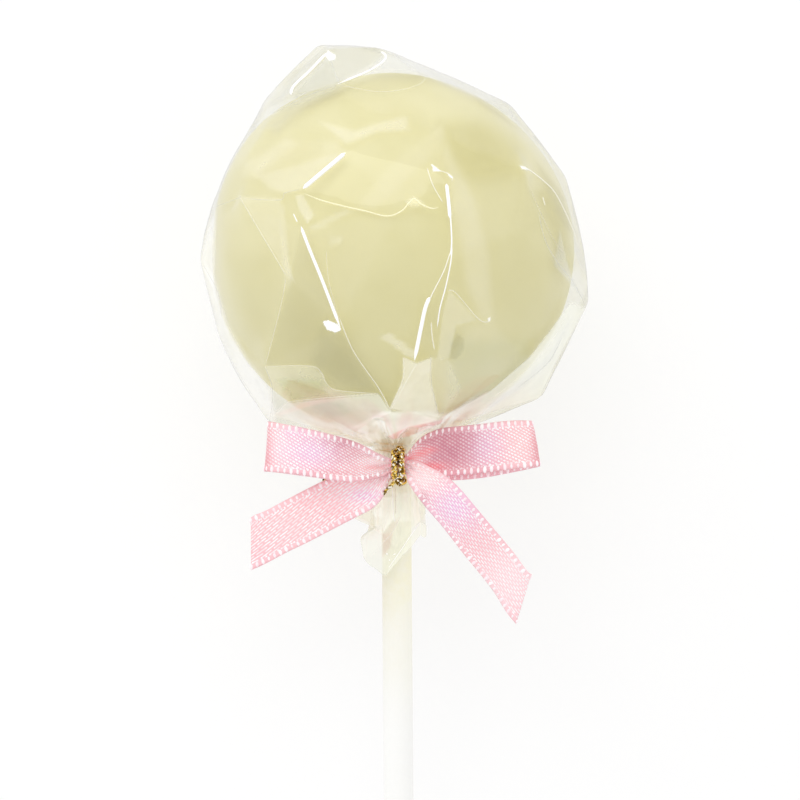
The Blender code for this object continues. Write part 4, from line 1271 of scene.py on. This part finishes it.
def makeBand(name, material):
    band = bands[name]
    frames = bandFrames(band["stations"])
    shares = [2 * k / ribbon["across"] - 1 for k in range(ribbon["across"] + 1)]
    bm = bmesh.new()
    cloth = bm.loops.layers.uv.new("cloth")
    dyeAndSheen = bm.verts.layers.float_color.new("dyeAndSheen")
    glow = bm.verts.layers.float.new("shine")
    spots, rings = {}, []
    for i, spot in enumerate(frames):
        shown = "tail" in name or i < len(frames) * ribbon["shownShare"]
        ring = []
        for side, row in ((0.5, shares), (-0.5, shares[::-1])):
            for u in row:
                wall = ribbon["thickness"] * side * (1 - ribbon["rimThinning"] * (abs(u) > 0.99))
                vert = bm.verts.new(bandPoint(spot, u, band["seed"]) + spot["out"] * wall)
                colour, vert[glow] = satinTone(name, vert.co, shown)
                vert[dyeAndSheen] = (*colour, 1.0)
                spots[vert] = (spot["far"] * band["run"], u * ribbon["halfWidth"])
                ring.append(vert)
        rings.append(ring)
    count = len(rings[0])
    for low, high in zip(rings, rings[1:]):
        for i in range(count):
            j = (i + 1) % count
            bm.faces.new((low[i], low[j], high[j], high[i]))
    for ring in (rings[0], rings[-1]):
        for i in range(count // 2 - 1):
            bm.faces.new((ring[i], ring[i + 1], ring[count - 2 - i], ring[count - 1 - i]))
    for face in bm.faces:
        for loop in face.loops:
            loop[cloth].uv = spots[loop.vert]
    toPiece(name, bm, material, "ribbon_bow")


def makeSatin(name):
    material, tree, shader = newMaterial("satin_" + name)
    weave = dict(zip(weaveInputs, bands[name]["weave"]))
    twill = useGroup(tree, satinTwill, Edge_From=satin["edgeFrom"], **weave)
    dashes = twill.outputs["Dashes"]
    dyeAndSheen = readColour(tree, "dyeAndSheen")
    patches = calc(tree, "MULTIPLY", cloudMask(tree, satin["patches"]), satin["patchShare"])
    colour = blendColour(tree, patches, dyeAndSheen, satin["pale"])
    # The floats turn near-white where they catch the light, more so in the glitter: painted highlight
    least, more = satin["glitterShine"]
    glitter = calc(tree, "MULTIPLY_ADD", cloudMask(tree, satin["glitter"]), more, least)
    glow = calc(tree, "MULTIPLY", readValue(tree, "shine"), glitter)
    colour = blendColour(tree, calc(tree, "MULTIPLY", dashes, glow), colour, satin["float"])
    rim = blendColour(tree, satin["rimShare"], dyeAndSheen, satin["light"])
    colour = blendColour(tree, twill.outputs["Edge"], colour, rim)
    stitches = calc(tree, "MULTIPLY", twill.outputs["Stitches"], glow)
    colour = blendColour(tree, stitches, colour, satin["float"])
    feed(tree, shader.inputs["Base Color"], colour)
    feed(tree, shader.inputs["Emission Color"], colour)
    shader.inputs["Emission Strength"].default_value = satin["glow"]
    ground, floats = satin["roughness"]
    rough = place(tree, "ShaderNodeMapRange", Value=dashes, To_Min=ground, To_Max=floats)
    feed(tree, shader.inputs["Roughness"], rough.outputs[0])
    feed(tree, shader.inputs["Normal"], addBump(tree, dashes, *satin["relief"]))
    shader.inputs["Sheen Weight"].default_value = satin["sheen"]
    return material


# The woven edge's floats: pink, turning near-white in random patches, which is painted highlight; they glow
# like the satin
selvage = {
    "pink": (0.98, 0.80, 0.84),
    "white": (1.0, 0.97, 0.98),
    "patches": {"Size": 0.0016, "Detail": 2.0, "Low": 0.35, "High": 0.65},
    "roughness": 0.35,
    "inset": (0.41, 0.9),      # how far in from the edge, and the least half width it counts with
    "floats": {"Pitch": 0.88, "Length": 0.90, "Width": 0.47, "Height": 0.60},
    "vary": (0.75, 1.25),      # the floats' sizes differ by these shares
    "seed": 7,
}


def makeBeadTree():
    # The woven edge: a short float every pitch along both edges, turned with the ribbon
    tree, given, result = newTree("selvageFloats", "GeometryNodeTree", {
        "Geometry": ("Geometry", None), "Pitch": ("Float", 0.0009), "Length": ("Float", 0.0008),
        "Width": ("Float", 0.0003), "Height": ("Float", 0.0004), "Seed": ("Int", 7),
        "Material": ("Material", None),
    }, {"Geometry": "Geometry"})
    lines = place(tree, "GeometryNodeMeshToCurve", Mesh=given.outputs["Geometry"])
    spaced = place(tree, "GeometryNodeResampleCurve", {"mode": "LENGTH"}, Curve=lines.outputs[0],
                   Length=given.outputs["Pitch"])
    across = place(tree, "GeometryNodeInputNamedAttribute", {"data_type": "FLOAT_VECTOR"}, Name="across")
    ahead = place(tree, "GeometryNodeInputNamedAttribute", {"data_type": "FLOAT_VECTOR"}, Name="ahead")
    reach = place(tree, "GeometryNodeInputNamedAttribute", {"data_type": "FLOAT"}, Name="reach")
    reach = reach.outputs["Attribute"]
    turn = place(tree, "FunctionNodeAxesToRotation", {"primary_axis": "X", "secondary_axis": "Y"})
    tree.links.new(across.outputs["Attribute"], turn.inputs[0])
    tree.links.new(ahead.outputs["Attribute"], turn.inputs[1])
    bead = place(tree, "GeometryNodeMeshUVSphere", Segments=8, Rings=6, Radius=0.5)
    size = place(tree, "ShaderNodeCombineXYZ", X=given.outputs["Length"], Y=given.outputs["Width"],
                 Z=given.outputs["Height"])
    shaped = place(tree, "GeometryNodeTransform", Geometry=bead.outputs[0], Scale=size.outputs[0])
    vary = place(tree, "FunctionNodeRandomValue", {"data_type": "FLOAT"}, Seed=given.outputs["Seed"])
    vary.inputs[2].default_value, vary.inputs[3].default_value = selvage["vary"]
    vary = vary.outputs[1]
    grown = place(tree, "ShaderNodeCombineXYZ", X=calc(tree, "MULTIPLY", vary, reach), Y=vary, Z=vary)
    copies = place(tree, "GeometryNodeInstanceOnPoints", Points=spaced.outputs[0], Instance=shaped.outputs[0],
                   Rotation=turn.outputs[0], Scale=grown.outputs[0])
    smooth = place(tree, "GeometryNodeSetShadeSmooth", Geometry=copies.outputs[0])
    real = place(tree, "GeometryNodeRealizeInstances", Geometry=smooth.outputs[0])
    painted = place(tree, "GeometryNodeSetMaterial", Geometry=real.outputs[0],
                    Material=given.outputs["Material"])
    tree.links.new(painted.outputs[0], result.inputs[0])
    return tree


def makeSelvage():
    material, tree, shader = newMaterial("selvageFloat")
    colour = blendColour(tree, cloudMask(tree, selvage["patches"]), selvage["pink"], selvage["white"])
    feed(tree, shader.inputs["Base Color"], colour)
    feed(tree, shader.inputs["Emission Color"], colour)
    shader.inputs["Emission Strength"].default_value = satin["glow"]
    shader.inputs["Roughness"].default_value = selvage["roughness"]
    inset, least = selvage["inset"]
    paths = []
    for band in bands.values():
        frames = bandFrames(band["stations"])
        for side in (-1, 1):
            points = []
            for spot in frames:
                u = side * (1 - inset / max(spot["half"], least))
                points.append(bandPoint(spot, u, band["seed"]))
            paths.append({"points": points, "values": {
                "across": [spot["width"] for spot in frames], "ahead": [spot["ahead"] for spot in frames],
                "reach": [band["floats"]] * len(points)}})
    holder = pathObject("ribbon_edges", paths)
    values = {key: size * mm for key, size in selvage["floats"].items()}
    values.update({"Seed": selvage["seed"], "Material": material})
    growMesh(holder, makeBeadTree(), values)
    rideAlong(holder, "ribbon_bow")


def makeBowCore(material):
    bm = bmesh.new()
    bmesh.ops.create_uvsphere(bm, u_segments=48, v_segments=24, radius=1.0)
    core = ribbon["core"]
    depth, count = core["pleats"]
    dyeAndSheen = bm.verts.layers.float_color.new("dyeAndSheen")
    for vert in bm.verts:
        pleat = 1 + depth * math.cos(count * math.atan2(vert.co.z, vert.co.y))
        radii = (core["radii"][0], core["radii"][1] * pleat, core["radii"][2] * pleat)
        vert.co = Vector([c + r * v for c, r, v in zip(core["at"], radii, vert.co)])
        vert[dyeAndSheen] = (*satin["pink"], 1.0)
    toPiece("bow_core", bm, material, "ribbon_bow")


def makeBow():
    satins = {name: makeSatin(name) for name in bands}
    for name in bands:
        makeBand(name, satins[name])
    makeBowCore(satins["left_loop"])
    makeSelvage()


wire = {
    "strands": 3,
    "strand": 0.25,                       # radius of one strand
    "offset": 0.26,                       # of a strand from the middle of the twist
    "pitch": 1.9,                         # length of one whole twist
    "wrapsX": (0.17, 1.16),
    "wrapLean": (0.06, -0.08),
    "wrapHalf": (1.66, 1.74),             # depth and height from the bow's middle
    "ring": {"radius": 3.42, "z": -27.3, "tilt": 1.0},
    "shortEnd": [(0.5, -6.6, -30.4), (0.1, -6.7, -30.85), (-0.25, -6.7, -31.35), (-0.65, -6.6, -31.65),
                 (-0.95, -6.5, -32.0), (-1.35, -6.3, -32.5)],
    "longEnd": [(-2.6, 2.4, -27.7), (-4.7, 0.6, -28.5), (-7.1, -1.2, -29.6), (-9.4, -2.6, -30.5)],
    "sizes": {"wrap": 1.0, "knot": 0.85, "ring": 0.38, "shortEnd": 0.5, "longEnd": 0.7},
    "step": 0.1,
    "rounds": {"wrap": 48, "ring": 64, "knot": 32, "end": 8},    # points round a turn, or in a gap of an end
    "knot": {"at": (0.98, -6.45, -30.75), "radii": (0.70, 0.5, 0.50)},
    "knotTurn": {"at": (0.98, -6.70, -30.75), "halves": (0.50, 0.30), "turned": 0.35},
    "cap": {"at": (0.93, -6.1, -26.55), "radii": (0.58, 0.45, 0.56)},
    "knotRidges": (0.12, 6, 5),           # height, ridges round the knot, how far they wind
}
# The gold is painted: dark and bright gold in small patches stand in for what the metal reflects, the glints
# are painted highlights, and the groove colour is painted shade deep in the twist
goldFinish = {
    "dark": (0.17, 0.08, 0.005),
    "bright": (0.97, 0.70, 0.16),
    "glint": (1.0, 0.97, 0.84),
    "grooveShade": (0.05, 0.02, 0.003),
    "grooveShadeFrom": (0.12, 0.5),            # depth in the twist where the painted groove shade starts and is full
    "ridges": {"Size": 0.0005, "Detail": 2.0, "Low": 0.38, "High": 0.60},
    "glints": {"Size": 0.00034, "Detail": 1.0, "Low": 0.55, "High": 0.61},
    "roughness": 0.17,
    "relief": (0.7, 0.08),
}


def makeBraidTree():
    # Twists strands round each path and notes how deep in the twist each point lies
    tree, given, result = newTree("braidedWire", "GeometryNodeTree", {
        "Geometry": ("Geometry", None), "Strands": ("Int", 3), "Strand Radius": ("Float", 0.0002),
        "Offset": ("Float", 0.00024), "Pitch": ("Float", 0.0023), "Step": ("Float", 0.00009),
        "Material": ("Material", None),
    }, {"Geometry": "Geometry"})
    lines = place(tree, "GeometryNodeMeshToCurve", Mesh=given.outputs["Geometry"])
    fine = place(tree, "GeometryNodeResampleCurve", {"mode": "LENGTH"}, Curve=lines.outputs[0],
                 Length=given.outputs["Step"])
    copies = place(tree, "GeometryNodeDuplicateElements", {"domain": "SPLINE"}, Geometry=fine.outputs[0],
                   Amount=given.outputs["Strands"])
    share = place(tree, "GeometryNodeSplineParameter").outputs["Factor"]
    length = place(tree, "GeometryNodeSplineLength").outputs["Length"]
    turns = calc(tree, "ROUND", calc(tree, "DIVIDE", length, given.outputs["Pitch"]))
    hand = place(tree, "GeometryNodeInputNamedAttribute", {"data_type": "FLOAT"}, Name="hand")
    size = place(tree, "GeometryNodeInputNamedAttribute", {"data_type": "FLOAT"}, Name="size")
    size = size.outputs["Attribute"]
    start = calc(tree, "DIVIDE", copies.outputs["Duplicate Index"], given.outputs["Strands"])
    spin = calc(tree, "MULTIPLY_ADD", calc(tree, "MULTIPLY", share, turns), hand.outputs["Attribute"], start)
    angle = calc(tree, "MULTIPLY", spin, 2 * math.pi)
    tangent = place(tree, "GeometryNodeInputTangent").outputs[0]
    normal = place(tree, "GeometryNodeInputNormal").outputs[0]
    other = vectorCalc(tree, "CROSS_PRODUCT", tangent, normal)
    swing = vectorCalc(tree, "ADD",
                       vectorCalc(tree, "SCALE", normal, scale=calc(tree, "COSINE", angle)),
                       vectorCalc(tree, "SCALE", other, scale=calc(tree, "SINE", angle)))
    offset = vectorCalc(tree, "SCALE", swing, scale=calc(tree, "MULTIPLY", given.outputs["Offset"], size))
    middle = place(tree, "GeometryNodeStoreNamedAttribute", {"data_type": "FLOAT_VECTOR", "domain": "POINT"},
                   Geometry=copies.outputs[0], Name="middle")
    feed(tree, middle.inputs["Value"], place(tree, "GeometryNodeInputPosition").outputs[0])
    moved = place(tree, "GeometryNodeSetPosition", Geometry=middle.outputs[0], Offset=offset)
    outline = place(tree, "GeometryNodeCurvePrimitiveCircle", Resolution=8,
                    Radius=given.outputs["Strand Radius"])
    skin = place(tree, "GeometryNodeCurveToMesh", Curve=moved.outputs[0], Profile_Curve=outline.outputs[0],
                 Scale=size, Fill_Caps=True)
    centre = place(tree, "GeometryNodeInputNamedAttribute", {"data_type": "FLOAT_VECTOR"}, Name="middle")
    gap = vectorCalc(tree, "DISTANCE", place(tree, "GeometryNodeInputPosition").outputs[0],
                     centre.outputs["Attribute"])
    widest = calc(tree, "ADD", given.outputs["Offset"], given.outputs["Strand Radius"])
    widest = calc(tree, "MULTIPLY", widest, size)
    depth = calc(tree, "SUBTRACT", 1.0, calc(tree, "DIVIDE", gap, widest))
    noted = place(tree, "GeometryNodeStoreNamedAttribute", {"data_type": "FLOAT", "domain": "POINT"},
                  Geometry=skin.outputs[0], Name="grooveShade")
    feed(tree, noted.inputs["Value"], depth)
    smooth = place(tree, "GeometryNodeSetShadeSmooth", Geometry=noted.outputs[0])
    real = place(tree, "GeometryNodeRealizeInstances", Geometry=smooth.outputs[0])
    painted = place(tree, "GeometryNodeSetMaterial", Geometry=real.outputs[0],
                    Material=given.outputs["Material"])
    tree.links.new(painted.outputs[0], result.inputs[0])
    return tree


def makeGold():
    material, tree, shader = newMaterial("brightGold")
    low, high = goldFinish["grooveShadeFrom"]
    grooveShade = place(tree, "ShaderNodeMapRange", Value=readValue(tree, "grooveShade"), From_Min=low, From_Max=high)
    # Painted reflection in patches, painted glints, and painted shade in the grooves
    ridges, glints = cloudMask(tree, goldFinish["ridges"]), cloudMask(tree, goldFinish["glints"])
    colour = blendColour(tree, ridges, goldFinish["dark"], goldFinish["bright"])
    colour = blendColour(tree, glints, colour, goldFinish["glint"])
    colour = blendColour(tree, grooveShade.outputs[0], colour, goldFinish["grooveShade"])
    feed(tree, shader.inputs["Base Color"], colour)
    shader.inputs["Metallic"].default_value = 1.0
    shader.inputs["Roughness"].default_value = goldFinish["roughness"]
    feed(tree, shader.inputs["Normal"], addBump(tree, ridges, *goldFinish["relief"]))
    return material


def ellipse(at, cosine, sine, count):
    # Points round a place, from the ellipse's two half axes
    points = []
    for i in range(count):
        a = 2 * math.pi * i / count
        points.append([c + p * math.cos(a) + q * math.sin(a) for c, p, q in zip(at, cosine, sine)])
    return points


def makeTie():
    gold = makeGold()
    sizes, rounds, paths = wire["sizes"], wire["rounds"], []

    def addPath(points, size, hand=1.0, closed=False):
        paths.append({"points": points, "closed": closed, "values": {
            "hand": [hand] * len(points), "size": [size] * len(points)}})

    _x, y, z = ribbon["core"]["at"]
    deep, high = wire["wrapHalf"]
    for x, slant, hand in zip(wire["wrapsX"], wire["wrapLean"], (1.0, -1.0)):
        addPath(ellipse((x, y, z), (0, deep, 0), (slant, 0, high), rounds["wrap"]), sizes["wrap"], hand, True)
    ring = wire["ring"]
    addPath(ellipse((stick["x"], 0, ring["z"]), (ring["radius"], 0, 0), (0, ring["radius"], ring["tilt"]),
                    rounds["ring"]), sizes["ring"], 1.0, True)
    turn = wire["knotTurn"]
    wide, high = turn["halves"]
    wideWay = (wide * math.cos(turn["turned"]), wide * math.sin(turn["turned"]), 0)
    addPath(ellipse(turn["at"], wideWay, (0, 0, high), rounds["knot"]), sizes["knot"], 1.0, True)
    for key in ("shortEnd", "longEnd"):
        addPath(smoothPath(wire[key], rounds["end"]), sizes[key])
    holder = pathObject("gold_braid", paths)
    growMesh(holder, makeBraidTree(), {
        "Strands": wire["strands"], "Strand Radius": wire["strand"] * mm, "Offset": wire["offset"] * mm,
        "Pitch": wire["pitch"] * mm, "Step": wire["step"] * mm, "Material": gold,
    })
    rideAlong(holder, "gold_tie")

    bm = bmesh.new()
    height, count, wind = wire["knotRidges"]
    for lump in (wire["knot"], wire["cap"]):
        made = bmesh.ops.create_uvsphere(bm, u_segments=40, v_segments=20, radius=1.0)
        for vert in made["verts"]:
            ridge = 1 + height * math.cos(count * math.atan2(vert.co.z, vert.co.x) + wind * vert.co.y)
            vert.co = Vector([c + r * v * ridge for c, r, v in zip(lump["at"], lump["radii"], vert.co)])
    toPiece("gold_knot", bm, gold, "gold_tie")


paper = {
    "white": (0.985, 0.985, 0.965),
    "shadedCream": (0.87, 0.835, 0.65),
    "litCream": (1.0, 0.975, 0.73),
    "fibreColour": (0.97, 0.965, 0.93),
    "creamAlong": (-0.066, -0.038),       # the paper is painted cream between these, towards the bow, in metres: the tint and shade of the film over it
    "litAcross": (-0.0016, 0.0024),       # and this cream from shaded to lit
    "patches": {"Size": 0.006, "Detail": 2.0, "Low": 0.35, "High": 0.7},
    "patchCream": (0.7, 0.3),             # share of the cream everywhere, and more of it in the patches
    "fibre": {"Size": 0.0009, "Detail": 4.0, "Low": 0.3, "High": 0.75},
    "fibreShare": 0.25,
    "relief": (0.3, 0.03),
    "roughness": 0.62,
}


def makePaper():
    material, tree, shader = newMaterial("rolledPaper")
    where = place(tree, "ShaderNodeTexCoord").outputs["Object"]
    split = place(tree, "ShaderNodeSeparateXYZ", Vector=where)
    low, high = paper["creamAlong"]
    near = place(tree, "ShaderNodeMapRange", {"interpolation_type": "SMOOTHSTEP"}, Value=split.outputs["Y"],
                 From_Min=low, From_Max=high)
    least, more = paper["patchCream"]
    patches = calc(tree, "MULTIPLY_ADD", cloudMask(tree, paper["patches"]), more, least)
    low, high = paper["litAcross"]
    side = place(tree, "ShaderNodeMapRange", Value=split.outputs["X"], From_Min=low, From_Max=high)
    cream = blendColour(tree, side.outputs[0], paper["shadedCream"], paper["litCream"])
    colour = blendColour(tree, calc(tree, "MULTIPLY", near.outputs[0], patches), paper["white"], cream)
    fibre = cloudMask(tree, paper["fibre"])
    share = calc(tree, "MULTIPLY", fibre, paper["fibreShare"])
    colour = blendColour(tree, share, colour, paper["fibreColour"])
    feed(tree, shader.inputs["Base Color"], colour)
    shader.inputs["Roughness"].default_value = paper["roughness"]
    feed(tree, shader.inputs["Normal"], addBump(tree, fibre, *paper["relief"]))
    return material


def dressStick():
    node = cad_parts["stick"]
    material = makePaper()
    if not node.data.materials:
        node.data.materials.append(material)
    for slot in node.material_slots:
        slot.material = material


makeCamera()
makeStudio()
print("studio ready")
makeBall()
print("ball coated")
makeCreases(makeFilm())
print("film wrapped")
makeBow()
print("bow tied")
makeTie()
print("wire twisted")
dressStick()
print("stick papered")
